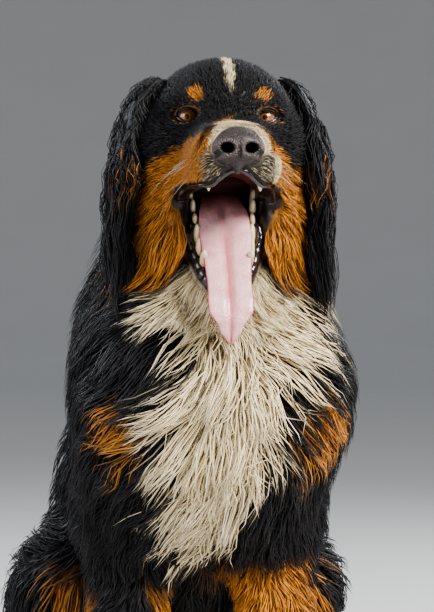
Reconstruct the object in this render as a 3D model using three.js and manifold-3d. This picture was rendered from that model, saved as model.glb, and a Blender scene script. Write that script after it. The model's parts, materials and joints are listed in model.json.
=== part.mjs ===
// A life-size model of a bernese mountain dog. It sits, looks ahead and pants, with its long tongue
// hanging over the lower jaw. It faces -Y, +Z is up and +X is its left side. The origin is on the
// floor, at the middle of the flat on which the rump rests. All sizes are in millimetres.
import * as THREE from "three";
import { mergeVertices } from "three/addons/utils/BufferGeometryUtils.js";
import Module from "manifold-3d";

const wasm = await Module();
wasm.setup();

// Driving sizes and angles
const GAP = 0.3; // between two nodes that touch
const CORE_SHARE = 0.5; // how far the cores of the nodes reach from the skin (0) to the tips of the coat (1)
const HEAD_YAW = -4.5; // degrees, towards the dog's right
const GAPE = 48; // degrees between the jaws
const BODY_GRID = { cell: 24, count: 1600 }; // for the trunk, thighs and tail
const LEG_GRID = { cell: 16, count: 900 }; // for the lower legs
const PAW_GRID = { cell: 9, count: 1300 }; // for the paws
const HEAD_GRID = { cell: 7.5, count: 2400 }; // for the head
const CLEAN_LIMIT = 0.01; // cost of an edge under about 2 mm whose loss moves no face
const PINCH_DEPTH = 0.05;
const SHORT_COAT = 10; // a coat of up to this depth is solid to its tips
const EYE_RADIUS = 12;
const EYE_PLACE = [41, 6, 0]; // these four in the head's frame
const EYE_OPENING = [11, 15, 6.6];
const LID_RADIUS = 15;
const NOSE_PLACE = [0, -104, -40];

// Joints of the sitting pose: side joints are given for the dog's left
const WITHERS = [0, -335, 612];
const CHEST = [0, -440, 505];
const RIB_END = [0, -230, 372];
const LOIN = [0, -75, 222];
const RUMP = [0, 0, 122];
const NECK_BASE = [0, -415, 580];
const NECK_TOP = [0, -462, 738];
const BLADE_TOP = [45, -350, 600];
const SHOULDER = [70, -495, 500];
const ELBOW = [82, -408, 362];
const WRIST = [87, -442, 120];
const FORE_BALL = [90, -470, 38];
const HIP = [74, -50, 198];
const KNEE = [134, -250, 258];
const HOCK = [112, -62, 46];
const HIND_BALL = [126, -280, 36];
const EYE_MIDDLE = [4, -600, 797];
const HEAD_PIVOT = [4, -480, 745];
const BIB_WHORL = 515; // height at which the hair of the chest parts
const JAW_HINGE = [0, 75, -30]; // in the head's frame

// Frames: the head's frame has its origin between the eyes, and the jaw's is the head's, turned by the gape
const degrees = THREE.MathUtils.degToRad;
const headFrame = new THREE.Matrix4()
  .makeTranslation(...HEAD_PIVOT)
  .multiply(new THREE.Matrix4().makeRotationZ(degrees(HEAD_YAW)))
  .multiply(
    new THREE.Matrix4().makeTranslation(...EYE_MIDDLE.map((v, i) => v - HEAD_PIVOT[i])),
  );
const jawFrame = headFrame
  .clone()
  .multiply(new THREE.Matrix4().makeTranslation(...JAW_HINGE))
  .multiply(new THREE.Matrix4().makeRotationX(degrees(GAPE)))
  .multiply(new THREE.Matrix4().makeTranslation(...JAW_HINGE.map((v) => -v)));
const bodyFrame = new THREE.Matrix4();
const intoHead = headFrame.clone().invert();
const intoJaw = jawFrame.clone().invert();

// A mass is a rounded cone from a to b, with a radius at each end and the depth of the coat over it.
// flat squeezes it sideways, and blend is how softly it flows into the masses before it.
const cone = (frame, a, b, ra, rb, coat, blend, flat = 1) => [
  { frame, a, b, ra, rb, coat, blend, flat },
];
const ball = (frame, centre, radii, coat, blend) => [{ frame, centre, radii, coat, blend }];
// The same mass on both sides of the frame's middle plane
const pair = ([mass]) => [1, -1].map((side) => {
  const across = (p) => p && [p[0] * side, p[1], p[2]];
  return { ...mass, a: across(mass.a), b: across(mass.b), centre: across(mass.centre) };
});

const trunkMasses = [
  ...cone("body", CHEST, RIB_END, 130, 120, 34, 0, 0.9), // rib cage
  ...cone("body", RIB_END, LOIN, 116, 106, 32, 60, 0.96), // loin
  ...cone("body", LOIN, RUMP, 108, 88, 34, 50), // croup
  ...cone("body", WITHERS, RIB_END, 48, 60, 34, 60, 1.1), // back
  ...cone("body", [0, -505, 490], [0, -440, 410], 66, 66, 44, 50, 1.1), // breast
  ...cone("body", NECK_BASE, NECK_TOP, 102, 64, 34, 70), // neck
  ...cone("body", [0, -490, 650], [0, -505, 500], 56, 72, 44, 50, 1.15), // throat to bib
  ...ball("body", [0, 0, 76], [88, 92, 86], 4, 30), // seat
];
const foreMasses = [
  ...pair(cone("body", BLADE_TOP, SHOULDER, 44, 52, 28, 45)),
  ...pair(cone("body", SHOULDER, ELBOW, 52, 47, 22, 40)),
  ...pair(cone("body", ELBOW, WRIST, 44, 31, 13, 30)),
  ...pair(cone("body", WRIST, FORE_BALL, 31, 32, 7, 20)),
];
const hindMasses = [
  ...pair(cone("body", HIP, KNEE, 100, 56, 28, 50)),
  ...pair(cone("body", KNEE, HOCK, 52, 31, 20, 30)),
  ...pair(cone("body", HOCK, HIND_BALL, 34, 30, 7, 20)),
];
// Four toes on each paw, spread over the middle of the ball of the foot
const toes = ([x, y, z], spread) => [-1.5, -0.5, 0.5, 1.5].flatMap((step) => {
  const knuckle = [x + step * spread * 0.9, y - 14 + 6 * Math.abs(step), z + 4];
  const tip = [x + step * spread, y - 46 + 9 * Math.abs(step), z - 15];
  return pair(cone("body", knuckle, tip, 15, 14, 3, 6));
});
const toeMasses = [...toes(FORE_BALL, 18), ...toes(HIND_BALL, 17)];
const TAIL_POINTS = [
  [0, 50, 105],
  [0, 112, 62],
  [-12, 200, 46],
  [-52, 285, 44],
  [-120, 345, 40],
  [-190, 368, 34],
];
const TAIL_RADII = [40, 30, 21, 18, 14, 6];
const tailMasses = TAIL_POINTS.slice(1).flatMap((point, i) =>
  cone("body", TAIL_POINTS[i], point, TAIL_RADII[i], TAIL_RADII[i + 1], 28, 30),
);
const skullMasses = [
  ...ball("head", [0, 62, 4], [70, 84, 58], 8, 0), // brain case
  ...ball("head", [0, 16, 14], [56, 40, 36], 5, 22), // forehead
  ...pair(ball("head", [36, 4, 15], [22, 17, 13], 4, 12)), // brow
  ...pair(ball("head", [56, 52, -30], [34, 50, 42], 8, 24)), // cheek muscle
  ...pair(cone("head", [17, 4, -34], [14, -90, -40], 30, 22, 3, 20)), // bridge of the muzzle
  ...pair(cone("head", [36, 4, -60], [25, -82, -58], 20, 19, 3, 12)), // upper lip
  ...pair(ball("head", [52, 14, -70], [11, 26, 16], 4, 12)), // corner of the lip
];
const ruffMasses = pair(ball("head", [54, 50, -100], [22, 42, 60], 16, 0)); // long hair of the cheeks
const jawMasses = [
  ...pair(cone("jaw", [45, 45, -62], [18, -78, -78], 17, 15, 4, 0)), // jaw bone
  ...ball("jaw", [0, -80, -80], [24, 18, 15], 4, 12), // chin
  ...ball("jaw", [0, 24, -92], [44, 70, 20], 12, 20), // floor of the mouth and throat
];
// What the open mouth leaves empty
const mouthMasses = [
  ...cone("head", [0, 34, -88], [0, -78, -76], 24, 17, 0, 0, 1.3), // under the palate
  ...cone("head", [0, 26, -92], [0, -50, -112], 26, 34, 0, 10, 1.3), // between the jaws
  ...cone("jaw", [0, 20, -44], [0, -76, -46], 18, 16, 0, 14, 1.5), // over the tongue's bed
];

// Distance from a point to one mass, below zero inside it
function toMass(mass, x, y, z, share) {
  const hair = mass.coat > SHORT_COAT ? share * mass.coat : mass.coat;
  if (mass.radii) {
    const [rx, ry, rz] = mass.radii.map((r) => r + hair);
    const px = x - mass.centre[0];
    const py = y - mass.centre[1];
    const pz = z - mass.centre[2];
    const k0 = Math.hypot(px / rx, py / ry, pz / rz);
    const k1 = Math.hypot(px / (rx * rx), py / (ry * ry), pz / (rz * rz));
    return k1 > 0 ? (k0 * (k0 - 1)) / k1 : -Math.min(rx, ry, rz);
  }
  const { a, b, ra, rb, flat } = mass;
  const px = (x - a[0]) / flat;
  const py = y - a[1];
  const pz = z - a[2];
  const dx = (b[0] - a[0]) / flat;
  const dy = b[1] - a[1];
  const dz = b[2] - a[2];
  const t = Math.min(1, Math.max(0, (px * dx + py * dy + pz * dz) / (dx * dx + dy * dy + dz * dz)));
  return Math.hypot(px - t * dx, py - t * dy, pz - t * dz) - ra - t * (rb - ra) - hair;
}

// Two distances run together with a soft crease
function blended(one, other, blend) {
  const near = Math.max(blend - Math.abs(one - other), 0);
  return Math.min(one, other) - (blend > 0 ? (near * near) / (4 * blend) : 0);
}

const frames = { body: bodyFrame, head: intoHead, jaw: intoJaw };
const place = new THREE.Vector3();
function framed(x, y, z) {
  return Object.fromEntries(
    Object.entries(frames).map(([name, matrix]) => [
      name,
      place.set(x, y, z).applyMatrix4(matrix).toArray(),
    ]),
  );
}
const distanceTo = (list, at, share, start = Infinity) =>
  list.reduce(
    (sum, mass) => blended(sum, toMass(mass, ...at[mass.frame], share), mass.blend),
    start,
  );

// Distance from the surface of the whole dog, whose coat is filled up to a share of its depth
function dog(x, y, z, share = CORE_SHARE) {
  const at = framed(x, y, z);
  const trunk = distanceTo(trunkMasses, at, share);
  const fore = distanceTo(foreMasses, at, share, trunk);
  const hind = distanceTo([...hindMasses, ...tailMasses], at, share, trunk);
  const legged = distanceTo(toeMasses, at, share, blended(fore, hind, 8));
  const skull = distanceTo(skullMasses, at, share);
  const face = blended(skull, distanceTo(jawMasses, at, share), 10);
  const head = blended(face, distanceTo(ruffMasses, at, share), 14);
  return -blended(-blended(legged, head, 24), distanceTo(mouthMasses, at, 0), 5);
}

// The surface of a distance function as a closed mesh of about so many triangles, from one vertex for each
// grid cell that it crosses
function skinOf(distance, low, high, cell, count) {
  const n = low.map((v, i) => Math.ceil((high[i] - v) / cell) + 1);
  const step = [1, n[0], n[0] * n[1]];
  const values = new Float32Array(n[0] * n[1] * n[2]);
  const at = (i, j, k) => i + j * step[1] + k * step[2];
  for (let k = 0; k < n[2]; k++)
    for (let j = 0; j < n[1]; j++)
      for (let i = 0; i < n[0]; i++) {
        const rim = [i, j, k].some((v, axis) => v === 0 || v === n[axis] - 1);
        const d = distance(low[0] + i * cell, low[1] + j * cell, low[2] + k * cell);
        values[at(i, j, k)] = rim ? Math.max(d, cell / 2) : d;
      }
  fillDiagonals(values, n, step, cell);
  const corners = [0, 1, 2, 3, 4, 5, 6, 7].map((c) => [c & 1, (c >> 1) & 1, c >> 2]);
  const positions = [];
  const vertexOf = new Map();
  for (let k = 0; k < n[2] - 1; k++)
    for (let j = 0; j < n[1] - 1; j++)
      for (let i = 0; i < n[0] - 1; i++) {
        const d = corners.map(([x, y, z]) => values[at(i + x, j + y, k + z)]);
        if (d.every((v) => v < 0) || d.every((v) => v >= 0)) continue;
        const sum = new THREE.Vector3();
        let count = 0;
        for (let c = 0; c < 8; c++)
          for (const bit of [1, 2, 4]) {
            const e = c | bit;
            if (c & bit || d[c] < 0 === d[e] < 0) continue;
            const t = d[c] / (d[c] - d[e]);
            sum.add(
              new THREE.Vector3(...corners[c]).lerp(new THREE.Vector3(...corners[e]), t),
            );
            count += 1;
          }
        sum.divideScalar(count).add(new THREE.Vector3(i, j, k)).multiplyScalar(cell);
        sum.add(new THREE.Vector3(...low));
        vertexOf.set(at(i, j, k), positions.length / 3);
        positions.push(...sum.toArray());
      }
  const triangles = [];
  for (let k = 0; k < n[2] - 1; k++)
    for (let j = 0; j < n[1] - 1; j++)
      for (let i = 0; i < n[0] - 1; i++)
        for (let axis = 0; axis < 3; axis++) {
          const here = at(i, j, k);
          const inside = values[here] < 0;
          if (inside === values[here + step[axis]] < 0) continue;
          const u = step[(axis + 1) % 3];
          const v = step[(axis + 2) % 3];
          const quad = [here - u - v, here - v, here, here - u].map((c) => vertexOf.get(c));
          if (!inside) quad.reverse();
          triangles.push(quad[0], quad[1], quad[2], quad[0], quad[2], quad[3]);
        }
  return thinned(positions, triangles, count);
}

// The same closed surface with fewer triangles: the edge whose loss changes the shape least goes first, until the
// count is reached or each edge that is left would cost more than the limit
function thinned(positions, triangles, count, limit = Infinity) {
  const points = [];
  for (let i = 0; i < positions.length; i += 3) points.push(positions.slice(i, i + 3));
  const faces = [];
  for (let i = 0; i < triangles.length; i += 3) faces.push(triangles.slice(i, i + 3));
  const normalOf = (face) => {
    const [p, q, r] = face.map((v) => new THREE.Vector3(...points[v]));
    return q.sub(p).cross(r.sub(p));
  };
  const quadrics = points.map(() => new Float64Array(10));
  for (const face of faces) {
    const normal = normalOf(face);
    const area = normal.length();
    normal.normalize();
    const plane = [...normal.toArray(), -normal.dot(new THREE.Vector3(...points[face[0]]))];
    for (const v of face)
      for (let i = 0, k = 0; i < 4; i++)
        for (let j = i; j < 4; j++, k++) quadrics[v][k] += area * plane[i] * plane[j];
  }
  const errorAt = (q, [x, y, z]) =>
    q[0] * x * x + 2 * q[1] * x * y + 2 * q[2] * x * z + 2 * q[3] * x + q[4] * y * y +
    2 * q[5] * y * z + 2 * q[6] * y + q[7] * z * z + 2 * q[8] * z + q[9];
  const around = points.map(() => new Set());
  faces.forEach((face, f) => face.forEach((v) => around[v].add(f)));
  const neighbours = (v) => new Set([...around[v]].flatMap((f) => faces[f]).filter((w) => w !== v));
  let left = faces.length;
  while (left > count) {
    const edges = [];
    faces.forEach((face) => face && face.forEach((v, i) => {
      const w = face[(i + 1) % 3];
      if (v > w) return;
      const sum = quadrics[v].map((value, k) => value + quadrics[w][k]);
      const [a, b] = [points[v], points[w]];
      const choices = [a, b, a.map((value, k) => (value + b[k]) / 2)];
      const errors = choices.map((place) => errorAt(sum, place));
      const least = errors.indexOf(Math.min(...errors));
      const length = Math.hypot(a[0] - b[0], a[1] - b[1], a[2] - b[2]);
      const cost = errors[least] + 1e-3 * length ** 3;
      if (cost < limit) edges.push([cost, v, w, choices[least], sum]);
    }));
    edges.sort((one, other) => one[0] - other[0]);
    const touched = new Set();
    const before = left;
    for (const [, v, w, place, sum] of edges.slice(0, Math.ceil(edges.length / 5))) {
      if (left <= count) break;
      const mine = neighbours(v);
      const theirs = neighbours(w);
      if ([v, w, ...mine, ...theirs].some((u) => touched.has(u))) continue;
      if ([...mine].filter((u) => theirs.has(u)).length !== 2) continue;
      const kept = [...around[v], ...around[w]].filter((f) => !(faces[f].includes(v) && faces[f].includes(w)));
      const old = kept.map((f) => normalOf(faces[f]));
      const saved = [points[v], points[w]];
      points[v] = points[w] = place;
      const turned = (f, i) =>
        old[i].length() > 1e-3 && normalOf(faces[f]).normalize().dot(old[i].normalize()) < 0.3;
      if (kept.some(turned)) {
        [points[v], points[w]] = saved;
        continue;
      }
      for (const f of around[w]) {
        if (faces[f].includes(v)) {
          for (const u of faces[f]) if (u !== w) around[u].delete(f);
          faces[f] = null;
          left -= 1;
        } else {
          faces[f] = faces[f].map((u) => (u === w ? v : u));
          around[v].add(f);
        }
      }
      around[w].clear();
      quadrics[v] = sum;
      [v, w, ...mine, ...theirs].forEach((u) => touched.add(u));
    }
    if (left === before) break;
  }
  const order = new Map();
  const stay = faces.filter((face) => face);
  for (const v of stay.flat()) if (!order.has(v)) order.set(v, order.size);
  return new wasm.Manifold(
    new wasm.Mesh({
      numProp: 3,
      vertProperties: new Float32Array([...order.keys()].flatMap((v) => points[v])),
      triVerts: new Uint32Array(stay.flat().map((v) => order.get(v))),
    }),
  );
}

// Where only two opposite corners of a grid square are inside, one more is filled, or an edge would be shared
// by four faces
function fillDiagonals(values, n, step, cell) {
  for (let changed = true; changed; ) {
    changed = false;
    for (let k = 0; k < n[2] - 1; k++)
      for (let j = 0; j < n[1] - 1; j++)
        for (let i = 0; i < n[0] - 1; i++)
          for (let axis = 0; axis < 3; axis++) {
            const here = i + j * step[1] + k * step[2];
            const u = step[(axis + 1) % 3];
            const v = step[(axis + 2) % 3];
            const square = [here, here + u, here + u + v, here + v];
            const inside = square.map((c) => values[c] < 0);
            if (inside[0] !== inside[2] || inside[1] !== inside[3] || inside[0] === inside[1])
              continue;
            values[square[inside[0] ? 1 : 0]] = -cell / 20;
            changed = true;
          }
  }
}

// Solids and geometries
function closed(points, triangles) {
  let volume = 0;
  for (let i = 0; i < triangles.length; i += 3) {
    const [p, q, r] = [0, 1, 2].map((k) =>
      new THREE.Vector3().fromArray(points, 3 * triangles[i + k]),
    );
    volume += p.dot(q.cross(r));
  }
  return new wasm.Manifold(
    new wasm.Mesh({
      numProp: 3,
      vertProperties: new Float32Array(points),
      triVerts: new Uint32Array(volume < 0 ? [...triangles].reverse() : triangles),
    }),
  );
}
function solid(geometry) {
  const plain = geometry.index ? geometry.toNonIndexed() : geometry.clone();
  const points = new THREE.BufferGeometry().setAttribute("position", plain.attributes.position);
  const merged = mergeVertices(points, 1e-4);
  return closed(merged.attributes.position.array, merged.index.array);
}
function geometryOf(body) {
  const mesh = body.getMesh();
  return new THREE.BufferGeometry()
    .setAttribute("position", new THREE.BufferAttribute(mesh.vertProperties, 3))
    .setIndex(new THREE.BufferAttribute(mesh.triVerts, 1));
}
// Where two stretches of one surface touch at a vertex, each is drawn a little into the solid
function unpinched(geometry) {
  geometry.computeVertexNormals();
  const { position, normal } = geometry.attributes;
  const place = (v) => new THREE.Vector3().fromBufferAttribute(position, v);
  const together = new Map();
  for (let v = 0; v < position.count; v++) {
    const key = place(v).toArray().map((c) => c.toFixed(3)).join();
    together.set(key, [...(together.get(key) ?? []), v]);
  }
  for (const vertices of together.values()) {
    if (vertices.length < 2) continue;
    vertices.forEach((v, i) => {
      const inward = new THREE.Vector3().fromBufferAttribute(normal, v);
      position.setXYZ(v, ...place(v).addScaledVector(inward, -(1 + i) * PINCH_DEPTH).toArray());
    });
  }
  geometry.deleteAttribute("normal");
  return geometry;
}
const largest = (body) =>
  body.decompose().reduce((best, piece) => (piece.volume() > best.volume() ? piece : best));
// Without the needless short edges that a cut leaves
function cleaned(body) {
  const { vertProperties, triVerts } = body.getMesh();
  return thinned(Array.from(vertProperties), Array.from(triVerts), 0, CLEAN_LIMIT);
}
const joined = (body, pieces) => pieces.reduce((sum, piece) => sum.add(piece), body);
const without = (body, pieces) => pieces.reduce((left, piece) => left.subtract(piece), body);
const both = (make) => [1, -1].map(make);

// An ellipsoid in one of the frames
const egg = (frame, centre, radii, around = 16, down = 10) =>
  solid(
    new THREE.SphereGeometry(1, around, down)
      .scale(...radii)
      .translate(...centre)
      .applyMatrix4(frame),
  );

// A tooth or claw: a cone from the middle of its root to its tip
function spike(frame, root, tip, radius, sides = 6) {
  const axis = new THREE.Vector3(...tip).sub(new THREE.Vector3(...root));
  const cone = new THREE.ConeGeometry(radius, axis.length(), sides).translate(0, axis.length() / 2, 0);
  const turn = new THREE.Quaternion().setFromUnitVectors(
    new THREE.Vector3(0, 1, 0),
    axis.clone().normalize(),
  );
  return solid(cone.applyQuaternion(turn).translate(...root).applyMatrix4(frame));
}

// A flap such as an ear or the tongue. Each station has a place in the head's frame, a half width along
// the across direction and a thickness. curl turns the edges outwards, and groove lowers the middle.
function flap(stations, across, { side = 1, steps = 10, curl = 0, groove = 0, grow = 0 }) {
  const AROUND = 12;
  const line = new THREE.CatmullRomCurve3(
    stations.map(([[x, y, z]]) => new THREE.Vector3(side * x, y, z)),
  );
  const sizes = new THREE.CatmullRomCurve3(
    stations.map(([, half, thick]) => new THREE.Vector3(half, thick, 0)),
  );
  const points = [];
  const ends = [0, 1].map((u) => line.getPoint(u).addScaledVector(line.getTangent(u), (2 * u - 1) * grow));
  for (let s = 0; s <= steps; s++) {
    const centre = s % steps ? line.getPoint(s / steps) : ends[s / steps];
    const { x: half, y: thick } = sizes.getPoint(s / steps);
    const along = line.getTangent(s / steps);
    const wide = new THREE.Vector3(...across);
    wide.addScaledVector(along, -wide.dot(along)).normalize();
    const out = along.clone().cross(wide).multiplyScalar(side);
    for (let k = 0; k < AROUND; k++) {
      const angle = (2 * Math.PI * k) / AROUND;
      const lift = (thick / 2 + grow) * Math.sin(angle) + curl * (half / 40) * Math.cos(angle) ** 2;
      const dip = groove * (thick / 12) * Math.max(0, Math.sin(angle)) ** 8;
      const point = centre.clone().addScaledVector(wide, (half + grow) * Math.cos(angle));
      points.push(...point.addScaledVector(out, lift - dip).toArray());
    }
  }
  ends.forEach((end) => points.push(...end.toArray()));
  const triangles = [];
  for (let k = 0; k < AROUND; k++) {
    const next = (k + 1) % AROUND;
    for (let s = 0; s < steps; s++) {
      const [a, b, c, d] = [k, next, AROUND + next, AROUND + k].map((v) => v + s * AROUND);
      triangles.push(a, b, c, a, c, d);
    }
    const last = steps * AROUND;
    triangles.push(last + AROUND, next, k, last + AROUND + 1, last + k, last + next);
  }
  return closed(
    points.flatMap((_, i) =>
      i % 3 ? [] : new THREE.Vector3().fromArray(points, i).applyMatrix4(headFrame).toArray(),
    ),
    triangles,
  );
}

// The same numbers in each run, from 0 to 1
function seeded(seed) {
  let state = seed;
  return () => {
    state = (state * 1664525 + 1013904223) % 4294967296;
    return state / 4294967296;
  };
}

// The outward direction at a place on the dog
function outwards(point, share) {
  const { x, y, z } = point;
  const step = 3;
  return new THREE.Vector3(
    dog(x + step, y, z, share) - dog(x - step, y, z, share),
    dog(x, y + step, z, share) - dog(x, y - step, z, share),
    dog(x, y, z + step, share) - dog(x, y, z - step, share),
  ).normalize();
}
// The nearest place in the coat at a share of its depth, then shifted along the outward direction
function inCoat(point, share, shift = 0) {
  const place = point.clone();
  for (let i = 0; i < 3; i++)
    place.addScaledVector(outwards(place, share), -dog(...place.toArray(), share));
  return place.addScaledVector(outwards(place, share), shift);
}

// Which way the coat lies
function lie(point, normal) {
  const { x, y, z } = point;
  const head = new THREE.Vector3(x, y, z).applyMatrix4(intoHead);
  const side = Math.sign(x);
  const flow = new THREE.Vector3(0.12 * side, 0.5, -0.85);
  if (y > 60 && z < 170) {
    const along = nearestTail(point);
    flow.copy(along).addScaledVector(normal, 0.1);
  } else if (head.y < 125 && head.z > -230 && Math.abs(head.x) > 40 && head.y > 0) {
    flow.set(0.15 * side, 0.25, -0.95);
  } else if (y < -470) {
    const fromWhorl = new THREE.Vector3(x, 0, z - BIB_WHORL);
    flow.set(fromWhorl.x / 110, 0, -0.8 + Math.max(0, fromWhorl.z) / 400);
  } else if (normal.z > 0.45) {
    flow.set(0, 0.85, -0.5);
  }
  return flow.addScaledVector(normal, -flow.dot(normal)).normalize();
}
function nearestTail(point) {
  const nearest = TAIL_POINTS.slice(1).reduce((best, end, i) => {
    const middle = new THREE.Vector3(...TAIL_POINTS[i]).lerp(new THREE.Vector3(...end), 0.5);
    const far = middle.distanceTo(point);
    return far < best.far ? { far, i } : best;
  }, { far: Infinity });
  return new THREE.Vector3(...TAIL_POINTS[nearest.i + 1])
    .sub(new THREE.Vector3(...TAIL_POINTS[nearest.i]))
    .normalize();
}

// A lock's body: four-sided rings that end in a point. Each ring has a middle, two directions and two half
// sizes
function strand(rings, tip, grow = 0) {
  const points = [];
  for (const { place, across, normal, wide, deep } of rings)
    for (const [u, v] of [[1, 0], [0, 1], [-1, 0], [0, -1]])
      points.push(
        ...place
          .clone()
          .addScaledVector(across, u * (wide + grow))
          .addScaledVector(normal, v * (deep + grow))
          .toArray(),
      );
  points.push(...tip.toArray());
  const triangles = [0, 2, 1, 0, 3, 2];
  const last = 4 * rings.length;
  for (let k = 0; k < 4; k++) {
    const next = (k + 1) % 4;
    for (let ring = 0; ring < rings.length - 1; ring++) {
      const [a, b, c, d] = [k, next, 4 + next, 4 + k].map((v) => v + 4 * ring);
      triangles.push(a, b, c, a, c, d);
    }
    triangles.push(last - 4 + k, last - 4 + next, last);
  }
  return closed(points, triangles);
}

// A flat lock of the coat: it starts below the core, lies along the body and comes out to its tip
const LOCK_RINGS = [
  // how far along, share of the coat's depth, share of the width, share of the thickness
  [0, 0, 0.7, 0.8],
  [0.4, 0.74, 1, 1],
  [0.78, 0.96, 0.66, 0.75],
];
const ROOT_DEPTH = 10; // of a lock's root below the skin
function lock(root, { length, width, thick }, random) {
  const sway = (random() - 0.5) * 0.5;
  const reach = 0.92 + 0.12 * random();
  const long = length * (0.85 + 0.3 * random());
  let place = inCoat(root, 0);
  let done = 0;
  const step = (to, share, shift) => {
    const normal = outwards(place, share);
    const along = lie(place, normal);
    along.addScaledVector(normal.clone().cross(along), sway * (0.5 + to)).normalize();
    place = inCoat(place.addScaledVector(along, (to - done) * long), share * reach, shift);
    done = to;
    const out = outwards(place, share);
    return { place: place.clone(), normal: out, across: out.clone().cross(along).normalize() };
  };
  const rings = LOCK_RINGS.map(([to, share, wide, deep]) => {
    const half = (thick * deep) / 2;
    return { ...step(to, share, to ? -half : -ROOT_DEPTH), wide: (wide * width) / 2, deep: half };
  });
  return strand(rings, step(1, 1, 0).place);
}

// The wavy locks of an ear, each from a place along it and across it
const EAR_LOCKS = [
  [0.3, -24],
  [0.32, 22],
  [0.5, -2],
  [0.58, -26],
  [0.62, 22],
  [0.78, -6],
];
const EAR_LOCK = { length: 92, width: 34, thick: 11, lift: 9 };
function earLocks(side, grow = 0) {
  const random = seeded(5);
  const line = new THREE.CatmullRomCurve3(EAR_STATIONS.map(([at]) => new THREE.Vector3(...at)));
  const inWorld = (x, y, z) => new THREE.Vector3(side * x, y, z).applyMatrix4(headFrame);
  return EAR_LOCKS.map(([along, off]) => {
    const root = line.getPoint(along);
    const long = EAR_LOCK.length * (0.85 + 0.3 * random());
    const wave = (random() - 0.5) * 26;
    const place = (t) =>
      inWorld(
        root.x + EAR_LOCK.lift * Math.sin(2.2 * t),
        root.y + off * (1 - 0.3 * t) + wave * t * t,
        root.z - long * t,
      );
    const directions = {
      normal: new THREE.Vector3(side, 0, 0).transformDirection(headFrame),
      across: new THREE.Vector3(0, 1, 0).transformDirection(headFrame),
    };
    const rings = LOCK_RINGS.map(([to, , wide, deep]) => ({
      ...directions,
      place: place(to),
      wide: (wide * EAR_LOCK.width) / 2,
      deep: (deep * EAR_LOCK.thick) / 2,
    }));
    return strand(rings, place(1), grow);
  });
}

// What the locks are like at a place, or nothing where the coat is short
function lockSizes(point, normal) {
  const { x, y, z } = point;
  const head = new THREE.Vector3(x, y, z).applyMatrix4(intoHead);
  const cheek = head.z < -45 && head.z > -150 && head.y > 15 && Math.abs(head.x) > 55;
  const face = head.y < 118 && head.z > -172;
  if (face) return cheek && { spacing: 38, length: 85, width: 40, thick: 11 };
  if ((z < 105 && y < 60) || normal.z < -0.55) return null;
  const leg = y < -343 && z < 372 && Math.abs(x) > 30;
  if (leg) return normal.y > 0.2 && { spacing: 56, length: 95, width: 46, thick: 12 };
  if (y > 60 && z < 170) return { spacing: 60, length: 120, width: 58, thick: 13 };
  if (y < -470) return { spacing: 60, length: 130, width: 62, thick: 14 };
  return { spacing: 88, length: 170, width: 88, thick: 17 };
}

// Roots spread evenly over a surface, at the middles of its triangles taken in a mixed order
function roots(body, random) {
  const mesh = body.getMesh();
  const vertex = (v) => new THREE.Vector3().fromArray(mesh.vertProperties, 3 * v);
  const order = Array.from({ length: mesh.triVerts.length / 3 }, (_, i) => [random(), i]);
  order.sort((one, other) => one[0] - other[0]);
  const found = [];
  for (const [, i] of order) {
    const corners = [0, 1, 2].map((k) => vertex(mesh.triVerts[3 * i + k]));
    const middle = corners[0].clone().add(corners[1]).add(corners[2]).divideScalar(3);
    const sizes = lockSizes(middle, outwards(middle, 0.5));
    if (!sizes || found.some((other) => other.place.distanceTo(middle) < sizes.spacing)) continue;
    found.push({ place: middle, sizes });
  }
  return found;
}

// A box of air on the far side of a plane, for cutting a solid back to the near side
function farSide([point, normal], gap) {
  const size = 3000;
  const direction = new THREE.Vector3(...normal).normalize();
  const box = new THREE.BoxGeometry(size, size, size).translate(0, 0, -size / 2 + gap);
  box.applyQuaternion(
    new THREE.Quaternion().setFromUnitVectors(new THREE.Vector3(0, 0, 1), direction),
  );
  return solid(box.translate(...point));
}
const near = (body, planes, gap = GAP / 2) => without(body, planes.map((plane) => farSide(plane, gap)));
const space = (planes) => near(solid(new THREE.BoxGeometry(3000, 3000, 3000)), planes, -GAP / 2);
const flipped = ([point, normal]) => [point, normal.map((v) => -v)];
const inHead = ([point, normal]) => [
  new THREE.Vector3(...point).applyMatrix4(headFrame).toArray(),
  new THREE.Vector3(...normal).transformDirection(headFrame).toArray(),
];
const sided = (side, [[x, y, z], [u, v, w]]) => [[side * x, y, z], [side * u, v, w]];

// Planes that part the nodes. Each normal points to the side of the node named first
const FLOOR = [[0, 0, 0], [0, 0, 1]];
const headFromNeck = inHead([[0, 118, -20], [0, -0.9, 0.42]]);
const headFromJaw = inHead([[0, 75, -40], [0, -0.5, 0.866]]);
const jawFromThroat = inHead([[0, 0, -196], [0, -0.35, 0.94]]);
const neckFromChest = [[0, -430, 590], [0, -0.42, 0.91]];
const chestFromLoin = [[0, -235, 370], [0, -0.83, 0.56]];
const tailFromRump = [[0, 70, 90], [0, 0.86, -0.5]];
const tipFromTail = [[-22, 225, 46], [-0.35, 0.94, 0]];
const foreLegSpace = (side) => [
  sided(side, [[45, -430, 345], [0.5, 0, -0.87]]),
  sided(side, [[8, 0, 0], [1, 0, 0]]),
  [[0, -343, 0], [0, -1, 0]],
];
const hindLegSpace = (side) => [
  sided(side, [[93, -244, 293], [0.757, -0.113, -0.644]]),
  sided(side, [[64, 0, 0], [1, 0, 0]]),
  [[0, -343, 0], [0, 1, 0]],
];
const pawFromLeg = [[0, 0, 92], [0, 0, -1]];
const thighFromShank = (side) => sided(side, [KNEE, [-0.324, 0.46, 0.827]]);
const footFromShank = [[0, -110, 88], [0, -0.3, -0.95]];

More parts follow.
